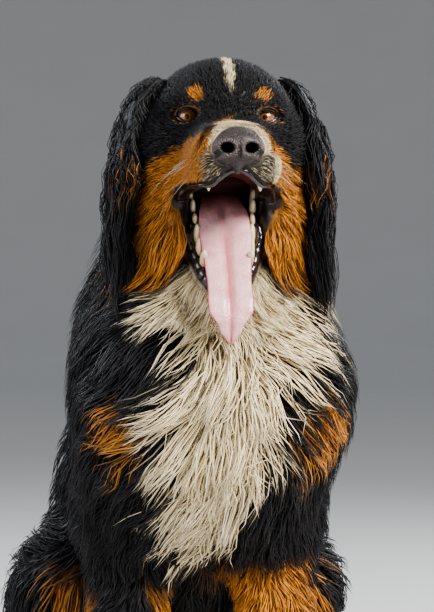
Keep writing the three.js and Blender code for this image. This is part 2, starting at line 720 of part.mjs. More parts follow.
const group = new THREE.Group();
const MATERIALS = {
  coat: { color: 0x1a1819, roughness: 0.6, metalness: 0 },
  eye: { color: 0x6b3a14, roughness: 0.08, metalness: 0 },
  tongue: { color: 0xd9949b, roughness: 0.35, metalness: 0 },
  nose: { color: 0x2b2625, roughness: 0.4, metalness: 0 },
};
function addNode(name, body, material = "coat") {
  const mesh = new THREE.Mesh(
    unpinched(geometryOf(cleaned(largest(body)))),
    new THREE.MeshStandardMaterial(MATERIALS[material]),
  );
  mesh.name = name;
  group.add(mesh);
}
const sideName = (side) => (side > 0 ? "left" : "right");

// The parts of the head
const EAR_STATIONS = [
  [[52, 70, 34], 24, 12],
  [[74, 70, 41], 33, 13],
  [[92, 68, 24], 42, 13],
  [[106, 66, -10], 46, 13],
  [[113, 66, -50], 43, 13],
  [[115, 68, -90], 34, 12],
  [[112, 72, -125], 19, 10],
  [[109, 75, -142], 5, 6],
];
const ear = (side, grow = 0) =>
  joined(flap(EAR_STATIONS, [0, 1, 0], { side, curl: -9, grow }), earLocks(side, grow));
const TONGUE_STATIONS = [
  [[0, 66, -84], 20, 14],
  [[0, 38, -98], 25, 14],
  [[0, 12, -124], 28, 13],
  [[0, -10, -152], 25, 12],
  [[0, -26, -176], 23, 11],
  [[0, -38, -192], 23.5, 10],
  [[0, -43, -205], 22, 8],
  [[0, -44, -214], 15, 7],
  [[0, -42, -226], 9, 5],
  [[0, -40, -235], 2, 2],
];
const tongue = (grow = 0) =>
  flap(TONGUE_STATIONS, [1, 0, 0], { steps: 13, curl: 3, groove: 5, grow });
const eyeAt = (side) => [side * EYE_PLACE[0], EYE_PLACE[1], EYE_PLACE[2]];
const eyeball = (side, grow = 0) => {
  const radius = EYE_RADIUS + grow;
  return egg(headFrame, eyeAt(side), [radius, radius, radius], 12, 8);
};
const lids = (side) => egg(headFrame, eyeAt(side), [LID_RADIUS, LID_RADIUS, LID_RADIUS], 12, 9);
const lidOpening = (side) => {
  const [x, y, z] = eyeAt(side);
  return egg(headFrame, [x, y - LID_RADIUS, z], EYE_OPENING, 12, 8);
};
function nosePad(grow = 0) {
  const [x, y, z] = NOSE_PLACE;
  const lump = (dx, dy, dz, ...radii) =>
    egg(headFrame, [x + dx, y + dy, z + dz], radii.map((r) => r + grow), 11, 7);
  return joined(lump(0, 0, 1, 24, 19, 19), both((side) => lump(side * 13, 2, -4, 13, 15, 14)));
}
function nostrils() {
  const [x, y, z] = NOSE_PLACE;
  const hole = (dx, dy, dz, ...radii) => egg(headFrame, [x + dx, y + dy, z + dz], radii, 8, 5);
  return [
    ...both((side) => hole(side * 11, -17, -3, 6, 12, 5.5)),
    ...both((side) => hole(side * 19, -12, -9, 8, 9, 2.2)),
    hole(0, -20, -10, 1.4, 9, 16),
  ];
}
const towards = (from, to, t) => from.map((v, i) => v + t * (to[i] - v));
function teethRow(frame, side, first, last, heights) {
  return heights.map((height, i) => {
    const [x, y, z] = towards(first, last, i / (heights.length - 1));
    const tall = frame === headFrame ? -height : height;
    return spike(frame, [side * x, y, z - tall / 2], [side * x, y, z + tall], 5.5);
  });
}
const upperTeeth = both((side) => [
  ...teethRow(headFrame, side, [30, -56, -64], [37, -2, -64], [8, 8, 9, 10]),
  spike(headFrame, [side * 27, -74, -56], [side * 28, -78, -88], 6),
]).flat();
const lowerTeeth = both((side) =>
  teethRow(jawFrame, side, [29, -46, -54], [37, 18, -50], [8, 9, 10, 12, 12]),
).flat();

const whole = (low, high, { cell, count }) => skinOf(dog, low, high, cell, count);
const bodyCore = whole([-255, -690, -30], [255, 450, 870], BODY_GRID);
const random = seeded(11);
const locks = roots(bodyCore, random).map(({ place, sizes }) => lock(place, sizes, random));
const coat = joined(locks[0], locks.slice(1));
const coated = (core) => near(core.add(coat), [FLOOR], 0);
const bodyWhole = coated(bodyCore);
const legsWhole = coated(whole([-216, -560, -36], [216, -18, 432], LEG_GRID));
const pawsWhole = near(whole([-198, -572, -11], [198, -11, 132], PAW_GRID), [FLOOR], 0);
const headWhole = coated(whole([-152, -760, 532], [152, -418, 893], HEAD_GRID));
const legSpaces = both((side) => [space(foreLegSpace(side)), space(hindLegSpace(side))]).flat();

const skull = joined(near(headWhole, [headFromNeck, headFromJaw]), [...both(lids), ...upperTeeth]);
const headCuts = both((side) => [eyeball(side, GAP), lidOpening(side), ear(side, GAP)]).flat();
const lowerJaw = near(headWhole, [headFromNeck, jawFromThroat, flipped(headFromJaw)]);
addNode("head", without(skull, [...headCuts, nosePad(GAP), tongue(GAP)]));
addNode(
  "lower_jaw",
  without(joined(lowerJaw, lowerTeeth), [tongue(GAP), ...both((side) => ear(side, GAP))]),
);
addNode("tongue", tongue(), "tongue");
addNode("nose_pad", without(nosePad(), nostrils()), "nose");
for (const side of [1, -1]) {
  addNode(`eye_${sideName(side)}`, eyeball(side), "eye");
  addNode(`ear_${sideName(side)}`, ear(side));
}
const headSpaces = [space([headFromNeck, headFromJaw]), space([headFromNeck, jawFromThroat])];
const neck = without(near(bodyWhole, [neckFromChest]), headSpaces);
addNode("neck", without(neck, [tongue(GAP), ...both((side) => ear(side, GAP))]));
addNode("torso", without(near(bodyWhole, [flipped(neckFromChest), chestFromLoin]), legSpaces));
addNode("rump", without(near(bodyWhole, [flipped(chestFromLoin), flipped(tailFromRump)]), legSpaces));
addNode("tail_base", without(near(bodyWhole, [tailFromRump, flipped(tipFromTail)]), legSpaces));
addNode("tail_tip", near(bodyWhole, [tailFromRump, tipFromTail]));
for (const side of [1, -1]) {
  const where = sideName(side);
  const hind = hindLegSpace(side);
  addNode(`foreleg_${where}`, near(legsWhole, [...foreLegSpace(side), flipped(pawFromLeg)]));
  addNode(`forepaw_${where}`, near(pawsWhole, [...foreLegSpace(side), pawFromLeg]));
  addNode(`thigh_${where}`, near(bodyWhole, [...hind, thighFromShank(side)]));
  addNode(
    `shank_${where}`,
    near(legsWhole, [...hind, flipped(thighFromShank(side)), flipped(footFromShank)]),
  );
  addNode(`hind_foot_${where}`, near(pawsWhole, [...hind, footFromShank]));
}

export default group;
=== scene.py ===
# %% [markdown] # A Bernese mountain dog, sitting with its mouth open The dog is a still, life-size model.
# Under the coat there is one skin, and the eyes, the nose, the tongue, the teeth, the lips and the claws
# are pieces of their own. The coat is made last, as many thin closed tufts.

# %% Load the solids
import json
import math

import bmesh
import bpy
import numpy as np
from mathutils import Matrix, Vector, kdtree

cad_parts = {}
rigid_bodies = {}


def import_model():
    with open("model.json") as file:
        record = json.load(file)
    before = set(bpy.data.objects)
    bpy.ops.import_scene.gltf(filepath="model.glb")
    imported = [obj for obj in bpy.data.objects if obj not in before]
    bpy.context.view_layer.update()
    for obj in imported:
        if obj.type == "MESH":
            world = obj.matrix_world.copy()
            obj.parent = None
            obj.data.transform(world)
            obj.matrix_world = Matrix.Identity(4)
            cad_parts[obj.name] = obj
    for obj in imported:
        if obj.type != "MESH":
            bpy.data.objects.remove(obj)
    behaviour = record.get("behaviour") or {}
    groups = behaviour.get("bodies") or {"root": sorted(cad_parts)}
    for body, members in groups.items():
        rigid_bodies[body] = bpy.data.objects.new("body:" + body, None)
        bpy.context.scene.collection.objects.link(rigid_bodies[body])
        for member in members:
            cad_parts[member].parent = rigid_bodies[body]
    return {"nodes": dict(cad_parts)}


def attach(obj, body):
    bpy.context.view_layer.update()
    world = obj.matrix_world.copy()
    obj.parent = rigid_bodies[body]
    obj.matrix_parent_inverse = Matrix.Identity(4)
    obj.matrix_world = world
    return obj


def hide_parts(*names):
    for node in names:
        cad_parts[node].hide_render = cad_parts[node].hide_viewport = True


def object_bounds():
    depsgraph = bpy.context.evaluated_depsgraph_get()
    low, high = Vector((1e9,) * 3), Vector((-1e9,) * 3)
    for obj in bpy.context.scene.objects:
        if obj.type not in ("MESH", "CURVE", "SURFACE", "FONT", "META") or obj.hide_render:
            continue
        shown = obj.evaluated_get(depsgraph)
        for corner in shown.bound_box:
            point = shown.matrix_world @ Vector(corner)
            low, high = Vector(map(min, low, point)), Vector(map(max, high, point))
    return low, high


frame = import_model()
solid_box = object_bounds()
solid_size = [round(v, 3) for v in solid_box[1] - solid_box[0]]
print("solids:", len(frame["nodes"]), "nodes in a box of", solid_size, "m")

# %% [markdown]
# ## The camera
# The picture was taken from in front of the dog and a little to its right, level with its chest. A long
# lens keeps the muzzle from looking too large.

# %% Place the camera
CAMERA_TURN = -10.5  # degrees from straight ahead
CAMERA_PLACE = (-0.3796, -2.5643, 0.600)
LENS, SENSOR = 113.2, 36  # millimetres


def placed(name, data):
    made = bpy.data.objects.new(name, data)
    bpy.context.scene.collection.objects.link(made)
    return made


camera = placed("camera", bpy.data.cameras.new("camera"))
camera.data.lens = LENS
camera.data.sensor_width = SENSOR
camera.location = CAMERA_PLACE
camera.rotation_euler = (math.radians(90), 0, math.radians(CAMERA_TURN))
bpy.context.scene.camera = camera
print("camera at", CAMERA_PLACE)

# %% [markdown]
# ## The frames of the head and the jaw
# The head is turned a little and the jaw swings down about its hinge, so both have frames of their own.
# Sizes are in millimetres here, as in the solids, and are turned into metres when a mesh is made.

# %% Set up the two frames
MM = 0.001
HEAD_YAW = -4.5  # degrees
GAPE = 48  # degrees that the jaw has swung down
EYE_MIDDLE = (4, -600, 797)
HEAD_PIVOT = (4, -480, 745)
JAW_HINGE = (0, 75, -30)


def moved(place):
    return Matrix.Translation(Vector(place))


head_frame = (
    moved(HEAD_PIVOT)
    @ Matrix.Rotation(math.radians(HEAD_YAW), 4, "Z")
    @ moved([e - p for e, p in zip(EYE_MIDDLE, HEAD_PIVOT)])
)
jaw_frame = (
    head_frame
    @ moved(JAW_HINGE)
    @ Matrix.Rotation(math.radians(GAPE), 4, "X")
    @ moved([-v for v in JAW_HINGE])
)


def through(matrix, points):
    m = np.array(matrix, dtype=np.float32)
    return np.asarray(points, dtype=np.float32) @ m[:3, :3].T + m[:3, 3]


INTO = {"body": Matrix(), "head": head_frame.inverted(), "jaw": jaw_frame.inverted()}


def in_head(points):
    return through(INTO["head"], points)


def mirrored(place, side):
    return (side * place[0], place[1], place[2])


print("chin in the body's frame:", through(jaw_frame, [(0, -80, -80)])[0].round(1))

# %% [markdown]
# ## The masses of the body
# Under the coat a dog is a few rounded masses: rib cage, loin, croup, neck, the bones and muscles of each
# leg. They could be sculpted by hand, but then skin and coat wouldn't match. Here each mass is a formula
# that tells how far a point is from it, and neighbours are run together with a soft crease. Each mass also
# knows how deep its coat is.

# %% Write the masses down
def cone(where, a, b, ra, rb, coat, blend, flat=1.0):
    return [dict(where=where, a=a, b=b, ra=ra, rb=rb, coat=coat, blend=blend, flat=flat)]


def ball(where, centre, radii, coat, blend):
    return [dict(where=where, centre=centre, radii=radii, coat=coat, blend=blend)]


def pair(masses):
    both = []
    for side in (1, -1):
        for mass in masses:
            places = {key: mirrored(mass[key], side) for key in ("a", "b", "centre") if key in mass}
            both.append({**mass, **places})
    return both


RIB_END, LOIN, RUMP = (0, -230, 372), (0, -75, 222), (0, 0, 122)
NECK_BASE, NECK_TOP = (0, -415, 580), (0, -462, 738)
SHOULDER, ELBOW, WRIST, FORE_BALL = (70, -495, 500), (82, -408, 362), (87, -442, 120), (90, -470, 35)
HIP, KNEE, HOCK, HIND_BALL = (74, -50, 198), (134, -250, 258), (112, -62, 46), (126, -280, 36)
TAIL_POINTS = [(0, 50, 105), (0, 112, 62), (-12, 200, 46), (-52, 285, 44), (-120, 345, 40), (-190, 368, 34)]
TAIL_RADII = [40, 30, 21, 18, 14, 6]
trunk_masses = (
    cone("body", (0, -440, 505), RIB_END, 130, 120, 34, 0, 0.9)  # rib cage
    + cone("body", RIB_END, LOIN, 116, 106, 32, 60, 0.96)
    + cone("body", LOIN, RUMP, 108, 88, 34, 50)
    + cone("body", (0, -335, 612), RIB_END, 48, 60, 34, 60, 1.1)  # back
    + cone("body", (0, -505, 490), (0, -440, 410), 66, 66, 44, 50, 1.1)  # breast
    + cone("body", NECK_BASE, NECK_TOP, 102, 64, 34, 70)
    + cone("body", (0, -490, 650), (0, -505, 500), 56, 72, 44, 50, 1.15)  # throat to bib
    + ball("body", (0, 0, 76), (88, 92, 86), 4, 30)  # seat
)
fore_masses = (
    pair(cone("body", (45, -350, 600), SHOULDER, 44, 52, 28, 45))
    + pair(cone("body", SHOULDER, ELBOW, 52, 47, 22, 40))
    + pair(cone("body", ELBOW, WRIST, 44, 31, 13, 30))
    + pair(cone("body", WRIST, FORE_BALL, 31, 32, 7, 20))
)
hind_masses = (
    pair(cone("body", HIP, KNEE, 100, 56, 28, 50))
    + pair(cone("body", KNEE, HOCK, 52, 31, 20, 30))
    + pair(cone("body", HOCK, HIND_BALL, 34, 30, 7, 20))
)
tail_masses = []
for start, end, thick, thin in zip(TAIL_POINTS, TAIL_POINTS[1:], TAIL_RADII, TAIL_RADII[1:]):
    tail_masses += cone("body", start, end, thick, thin, 28, 30)


def toe_lines(ball_of_foot, spread):
    x, y, z = ball_of_foot
    lines = []
    for step in (-1.5, -0.5, 0.5, 1.5):
        knuckle = (x + step * spread * 0.9, y - 14 + 6 * abs(step), z + 4)
        lines.append((knuckle, (x + step * spread, y - 46 + 9 * abs(step), z - 15)))
    return lines


all_toes = toe_lines(FORE_BALL, 18) + toe_lines(HIND_BALL, 17)
toe_masses = []
for knuckle, tip in all_toes:
    toe_masses += pair(cone("body", knuckle, tip, 15, 14, 3, 6))
print("masses of the body:", len(trunk_masses + fore_masses + hind_masses + tail_masses + toe_masses))

# %% [markdown]
# ## The masses of the head
# A Bernese has a broad skull, a clear stop between the eyes and a strong, straight muzzle with tight lips.
# The mouth is the space between the jaws, so it is a set of masses that are taken away.

# %% Write the head down
skull_masses = (
    ball("head", (0, 62, 4), (70, 84, 58), 8, 0)
    + ball("head", (0, 16, 14), (56, 40, 36), 5, 22)  # forehead
    + pair(ball("head", (36, 4, 15), (22, 17, 13), 4, 12))  # brows
    + pair(ball("head", (56, 52, -30), (34, 50, 42), 8, 24))  # cheek muscle
    + pair(cone("head", (17, 4, -34), (14, -90, -40), 30, 22, 3, 20))  # bridge of the muzzle
    + pair(cone("head", (36, 4, -60), (25, -82, -58), 20, 19, 3, 12))  # upper lips
    + pair(ball("head", (52, 14, -70), (11, 26, 16), 4, 12))  # corners of the lips
)
ruff_masses = pair(ball("head", (54, 50, -100), (22, 42, 60), 16, 0))
jaw_masses = (
    pair(cone("jaw", (45, 45, -62), (18, -78, -78), 17, 15, 4, 0))
    + ball("jaw", (0, -80, -80), (24, 18, 15), 4, 12)  # chin
    + ball("jaw", (0, 24, -92), (44, 70, 20), 12, 20)  # floor of the mouth
)
mouth_masses = (
    cone("head", (0, 34, -88), (0, -78, -76), 24, 17, 0, 0, 1.3)
    + cone("head", (0, 26, -92), (0, -50, -112), 26, 34, 0, 10, 1.3)
    + cone("jaw", (0, 20, -44), (0, -76, -46), 18, 16, 0, 14, 1.5)
)
print("masses of the head:", len(skull_masses + ruff_masses + jaw_masses + mouth_masses))

# %% [markdown]
# ## How far a point is from the dog
# The distances to all masses are run together in the order in which the parts grow. The share says how much
# of the coat is counted: 0 is the skin, and 1 is where the tips of the hair end.

# %% Measure distances
def to_mass(mass, p, share):
    hair = share * mass["coat"]
    if "radii" in mass:
        radii = np.array(mass["radii"], np.float32) + hair
        q = (p - np.array(mass["centre"], np.float32)) / radii
        far = np.sqrt((q * q).sum(1))
        steep = np.sqrt(((q / radii) ** 2).sum(1))
        return far * (far - 1) / np.maximum(steep, 1e-9)
    squeeze = np.array([1 / mass["flat"], 1, 1], np.float32)
    a = np.array(mass["a"], np.float32) * squeeze
    line = np.array(mass["b"], np.float32) * squeeze - a
    q = p * squeeze - a
    t = np.clip(q @ line / (line @ line), 0, 1)
    q -= t[:, None] * line
    return np.sqrt((q * q).sum(1)) - mass["ra"] - t * (mass["rb"] - mass["ra"]) - hair


def blended(one, other, blend):
    if blend <= 0:
        return np.minimum(one, other)
    near = np.maximum(blend - np.abs(one - other), 0)
    return np.minimum(one, other) - near * near / (4 * blend)


def to_masses(masses, at, share, start=None):
    for mass in masses:
        one = to_mass(mass, at[mass["where"]], share)
        start = one if start is None else blended(start, one, mass["blend"])
    return start


def framed(points):
    return {name: through(matrix, points) for name, matrix in INTO.items()}


def closed_dog(points, share=0.0):
    at = framed(points)
    trunk = to_masses(trunk_masses, at, share)
    fore = to_masses(fore_masses, at, share, trunk)
    hind = to_masses(hind_masses + tail_masses, at, share, trunk)
    legged = to_masses(toe_masses, at, share, blended(fore, hind, 8))
    face = blended(to_masses(skull_masses, at, share), to_masses(jaw_masses, at, share), 10)
    head = blended(face, to_masses(ruff_masses, at, share), 14)
    return blended(legged, head, 24)


def dog(points, share=0.0):
    return -blended(-closed_dog(points, share), to_masses(mouth_masses, framed(points), 0), 5)


SLOPE_STEP = 2.0


def unit(v):
    return v / np.maximum(np.linalg.norm(v, axis=-1, keepdims=True), 1e-9)


def outward(points, distance=dog):
    corners = np.array([(1, 1, 1), (1, -1, -1), (-1, 1, -1), (-1, -1, 1)], np.float32)
    return unit(sum(c * distance(points + SLOPE_STEP * c)[:, None] for c in corners))


breast = np.array([[0, -620, 480]])
print("depth of the coat on the breast:", float(dog(breast)[0] - dog(breast, 1)[0]))

# %% [markdown]
# ## Eyelids
# The lids are a ball a little larger than the eye, with an almond-shaped opening. They belong to the skin,
# so they are added to the distance before the skin is drawn.

# %% Add the lids
EYE_PLACE = (41, 6, 0)
EYE_RADIUS = 12
LID_RADIUS = 14.6
EYE_OPENING = (12.2, 13, 7.6)
lid_masses = pair(ball("head", EYE_PLACE, (LID_RADIUS,) * 3, 0, 4))
opening_masses = pair(ball("head", (EYE_PLACE[0], EYE_PLACE[1] - 15, EYE_PLACE[2]), EYE_OPENING, 0, 0))
nose_bed = ball("head", (0, -112, -42), (19, 24, 17), 0, 0)  # the skin steps back behind the nose
socket_masses = pair(ball("head", EYE_PLACE, (EYE_RADIUS + 0.4,) * 3, 0, 0))


def skin_distance(points):
    at = framed(points)
    with_lids = blended(dog(points), to_masses(lid_masses, at, 0), 6)
    opened = -blended(-with_lids, to_masses(opening_masses, at, 0), 2)
    opened = np.maximum(opened, -to_masses(socket_masses, at, 0))
    return np.maximum(opened, -to_masses(nose_bed, at, 0))


print("the lids open", 2 * EYE_OPENING[0], "by", 2 * EYE_OPENING[2], "mm")

# %% [markdown]
# ## From distances to a surface
# A surface follows the places where the distance is zero. Space is split into small cells, every cell that
# the surface crosses gets one vertex, and neighbouring vertices are joined into squares. Cells far from the
# surface are skipped with a coarse pass first.

# %% Draw a surface
def cell_values(distance, axes, cell, coarse=4):
    shape = [len(a) for a in axes]
    rough_axes = [a[::coarse] for a in axes]
    rough = np.stack(np.meshgrid(*rough_axes, indexing="ij"), -1).reshape(-1, 3)
    values = distance(rough).reshape([len(a) for a in rough_axes])
    for axis in range(3):
        values = np.repeat(values, coarse, axis=axis)
    values = values[: shape[0], : shape[1], : shape[2]].copy()
    near = np.abs(values) < coarse * cell * 2.6
    index = np.argwhere(near)
    points = np.stack([axes[i][index[:, i]] for i in range(3)], 1)
    values[near] = distance(points.astype(np.float32))
    return values


def surface(distance, low, high, cell):
    axes = [np.arange(a, b + cell, cell, dtype=np.float32) for a, b in zip(low, high)]
    values = cell_values(distance, axes, cell)
    inside = values < 0
    sizes = [n - 1 for n in values.shape]

    def corner(grid, c):
        return grid[c[0] : c[0] + sizes[0], c[1] : c[1] + sizes[1], c[2] : c[2] + sizes[2]]

    corners = [(i, j, k) for i in (0, 1) for j in (0, 1) for k in (0, 1)]
    count = sum(corner(inside, c).astype(np.int8) for c in corners)
    mixed = (count > 0) & (count < 8)
    total = np.zeros((int(mixed.sum()), 3), np.float32)
    crossings = np.zeros(len(total), np.float32)
    for c in corners:
        for axis in range(3):
            if c[axis]:
                continue
            d = tuple(v + (i == axis) for i, v in enumerate(c))
            one, other = corner(values, c)[mixed], corner(values, d)[mixed]
            crossed = (one < 0) != (other < 0)
            t = np.where(crossed, one / np.where(crossed, one - other, 1), 0)
            place = np.array(c, np.float32) + t[:, None] * (np.array(d) - np.array(c)).astype(np.float32)
            total += np.where(crossed[:, None], place, 0)
            crossings += crossed
    vertices = (np.argwhere(mixed) + total / crossings[:, None]) * cell + np.array([a[0] for a in axes])
    ids = np.full(mixed.shape, -1)
    ids[mixed] = np.arange(len(vertices))
    faces = []
    for axis in range(3):
        u, v = (axis + 1) % 3, (axis + 2) % 3
        after = np.roll(inside, -1, axis)
        change = inside != after
        change[tuple(slice(-1, None) if i == axis else slice(None) for i in range(3))] = False
        for side in (u, v):
            change[tuple(slice(0, 1) if i == side else slice(None) for i in range(3))] = False
            change[tuple(slice(-1, None) if i == side else slice(None) for i in range(3))] = False
        edge = np.argwhere(change)
        step_u, step_v = np.eye(3, dtype=int)[u], np.eye(3, dtype=int)[v]
        ring = [edge - step_u - step_v, edge - step_v, edge, edge - step_u]
        quad = np.stack([ids[r[:, 0], r[:, 1], r[:, 2]] for r in ring], 1)
        leaves = inside[edge[:, 0], edge[:, 1], edge[:, 2]]
        faces.append(np.where(leaves[:, None], quad, quad[:, ::-1]))
    return vertices.astype(np.float32), np.concatenate(faces)


test_ball = surface(lambda p: np.linalg.norm(p, axis=1) - 10, (-16, -16, -16), (16, 16, 16), 2.0)
print("a test ball has", len(test_ball[0]), "vertices and", len(test_ball[1]), "squares")

# %% [markdown]
# ## Putting a mesh into the scene
# Every piece rides on the dog's one body and names the finish that it takes. Markings are kept on the
# vertices as plain numbers, which the materials read.

# %% Make a piece
def add_mark(mesh, key, values):
    mark = mesh.attributes.new(key, "FLOAT", "POINT")
    mark.data.foreach_set("value", np.asarray(values, np.float32))


def marked(mesh, marks):
    mesh.shade_smooth()
    for key, values in marks.items():
        add_mark(mesh, key, values)
    return mesh


def mesh_from(name, vertices, faces, **marks):
    mesh = bpy.data.meshes.new(name)
    faces = np.asarray(faces)
    mesh.vertices.add(len(vertices))
    mesh.vertices.foreach_set("co", (np.asarray(vertices, np.float32) * MM).ravel())
    mesh.loops.add(faces.size)
    mesh.loops.foreach_set("vertex_index", faces.ravel().astype(np.int32))
    mesh.polygons.add(len(faces))
    mesh.polygons.foreach_set("loop_start", np.arange(0, faces.size, faces.shape[1], dtype=np.int32))
    mesh.update(calc_edges=True)
    mesh.validate()
    return marked(mesh, marks)


def from_faces(name, points, faces, **marks):
    mesh = bpy.data.meshes.new(name)
    mesh.from_pydata((np.asarray(points) * MM).tolist(), [], [list(dict.fromkeys(f)) for f in faces])
    return marked(mesh, marks)


def read(items, key, width, kind):
    values = np.empty(len(items) * width, kind)
    items.foreach_get(key, values)
    return values.reshape(-1, width)


def map_onto(mesh, vertex_uv):
    loops = read(mesh.loops, "vertex_index", 1, np.int32)[:, 0]
    layer = mesh.uv_layers.new(name="OFBake")
    layer.data.foreach_set("uv", vertex_uv[loops].astype(np.float32).ravel())


def piece(name, mesh, finish, nodes=()):
    made = placed(name, mesh)
    mesh.materials.append(finish.material)
    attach(made, "root")
    if nodes:
        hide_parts(*nodes)


def places_of(mesh):
    return read(mesh.vertices, "co", 3, np.float32) / MM


print("a piece of 1 mm is made", MM, "m large")

# %% [markdown]
# ## The skin
# One skin covers the whole dog, so no seam shows between its parts. It is drawn at the share 0, under the
# coat. The face has the finest shapes, so its faces are split and laid on the exact surface again.

# %% Draw the skin
SKIN_CELL = 6.5
FLOOR_LIFT = 0.2


def above_floor(points):
    points[:, 2] = np.maximum(points[:, 2], FLOOR_LIFT)
    return points


def laid_on(points, distance, rounds=2, most=4.0):
    for _ in range(rounds):
        points = points - outward(points, distance) * np.clip(distance(points), -most, most)[:, None]
    return points


skin_points, skin_faces = surface(skin_distance, (-235, -730, -20), (235, 410, 885), SKIN_CELL)
skin_mesh = mesh_from("skin", above_floor(skin_points), skin_faces)
print("skin:", len(skin_mesh.vertices), "vertices")

# %% [markdown]
# The skin is unwrapped before it is split, because the tufts take their places on its map later.

# %% Unwrap the skin
skin = placed("skin", skin_mesh)
bpy.context.view_layer.objects.active = skin
skin.select_set(True)
skin_mesh.uv_layers.new(name="OFBake")
bpy.ops.object.mode_set(mode="EDIT")
bpy.ops.mesh.select_all(action="SELECT")
bpy.ops.uv.smart_project(angle_limit=math.radians(66), island_margin=0.002)
bpy.ops.object.mode_set(mode="OBJECT")
print("unwrapped onto", skin_mesh.uv_layers.active.name)

# %% [markdown]
# The lids and the edges of the mouth are finer than the cells of the skin. A finer skin everywhere would
# have far too many faces, so only the edges of the head are split, those of the face once more, and the new
# vertices are laid on the surface.

# %% Split the head and the face
def split_where(mesh, test):
    shape = bmesh.new()
    shape.from_mesh(mesh)
    centres = np.array([e.verts[0].co + e.verts[1].co for e in shape.edges], np.float32) / (2 * MM)
    chosen = test(in_head(centres))
    edges = [e for e, wanted in zip(shape.edges, chosen) if wanted]
    bmesh.ops.subdivide_edges(shape, edges=edges, cuts=1, use_grid_fill=True)
    bmesh.ops.triangulate(shape, faces=[f for f in shape.faces if len(f.verts) > 4])
    shape.to_mesh(mesh)
    shape.free()


def on_head(h):
    return (h[:, 1] < 130) & (h[:, 2] > -215)


def on_face(h):
    return (h[:, 1] < 32) & (h[:, 2] > -150) & (np.abs(h[:, 0]) < 72)


split_where(skin_mesh, on_head)
split_where(skin_mesh, on_face)
skin_places = places_of(skin_mesh)
headed = on_head(in_head(skin_places))
skin_places[headed] = laid_on(skin_places[headed], skin_distance)
skin_places = above_floor(skin_places)
skin_mesh.vertices.foreach_set("co", (skin_places * MM).ravel())
skin_mesh.update()
print("skin with a fine head:", len(skin_mesh.vertices), "vertices")

# %% [markdown]
# ## Markings
# A Bernese is black, with rust over the eyes, on the cheeks, the legs and beside the chest, and with a
# white blaze, muzzle, bib and toes. Skin and coat ask the same formulas, so the colour of a tuft is the
# colour of its root. The edges are made uneven, because tufts of two colours mix there.

# %% Describe the markings
def smooth(value, low, high):
    t = np.clip((value - low) / (high - low), 0, 1)
    return t * t * (3 - 2 * t)


def fade(value, low, high):
    return 1 - smooth(value, low, high)


def ripple(points, size, seed):
    draw = np.random.default_rng(seed)
    total = 0
    for _ in range(5):
        wave = draw.normal(size=3) * 2 * math.pi / size
        total = total + np.sin(points @ wave.astype(np.float32) + draw.uniform(0, 6.28))
    return total / 2.6


#         height, left edge, right edge
BIB = np.array([
    (352, -24, -2), (372, -30, 12), (400, -34, 22), (440, -40, 28), (480, -44, 32), (520, -38, 36),
    (553, -30, 42), (590, -34, 64), (615, -48, 84), (650, -58, 80), (700, -58, 64),
], float)


def white_bib(p):
    x, y, z = p.T
    left = np.interp(z, BIB[:, 0], BIB[:, 1])
    right = np.interp(z, BIB[:, 0], BIB[:, 2])
    inside = np.minimum(x - left, right - x) + 6 * ripple(p, 46, 3)
    ends = smooth(z, 340, 356) * fade(z, 690, 740) * fade(y, -470, -440)
    return smooth(inside, -5, 5) * ends


print("the bib's edges are set at", len(BIB), "heights")

# %% [markdown]
# ## Markings of the face
# The blaze runs up between the eyes, the muzzle is white round the nose, and the white reaches further back
# on the dog's left upper lip. A rust spot lies over each eye, the cheeks are rust below a slanting line,
# and a thin rust rim follows the lids.

# %% Describe the face's markings
def white_face(h):
    x, y, z = h.T
    blaze_width = np.interp(z, (10, 26, 42, 62), (0.3, 1.8, 4.4, 4.4))
    blaze = smooth(blaze_width - np.abs(x - 1.5), -1.4, 1.4) * smooth(z, 16, 26)
    blaze = blaze * fade(y, 80, 110)
    from_nose = np.hypot(x - 1, (z + 42) * 0.95)
    muzzle = smooth(28.5 + 1.2 * ripple(h, 22, 5) - from_nose, -2, 2) * fade(y, -52, -44)
    flew = smooth(46 - x, -3, 3) * smooth(x, 24, 30) * smooth(-z, 42, 50) * fade(y, -62, -52)
    return np.clip(blaze + muzzle + flew, 0, 1)


def rust_face(h):
    x, y, z = h.T
    spots = sum(smooth(1.0 - np.hypot((x - cx) / 7.8, (z - 18.5) / 5.6), -0.1, 0.15) for cx in (-32, 34))
    spots = spots * fade(y, 14, 24)
    side = np.abs(x)
    top = -6 - 0.58 * side + 4 * ripple(h, 40, 7)
    cheek = smooth(top - z, -3, 4) * smooth(z, -152, -140 + 0.1 * side)
    cheek = cheek * smooth(104 + 5 * ripple(h, 30, 8) - side, -4, 4) * fade(y, 62, 80)
    eye = np.hypot((side - EYE_PLACE[0]) / 14.5, (z - EYE_PLACE[2]) / 10.0)
    rim = smooth(eye, 0.80, 0.86) * fade(eye, 0.90, 0.96) * fade(y, 0, 8)
    return np.clip(spots + cheek + 0.7 * rim, 0, 1)


brow = np.array([[34.0, 0, 18.5]])
print("rust over the eye:", round(float(rust_face(brow)[0]), 2))

# %% [markdown]
# ## Markings of the body
# Rust lies beside the bib, on the inside of the upper forelegs, all round them lower down, on the knees,
# above the hind feet and under the tail. The toes and the tip of the tail are white.

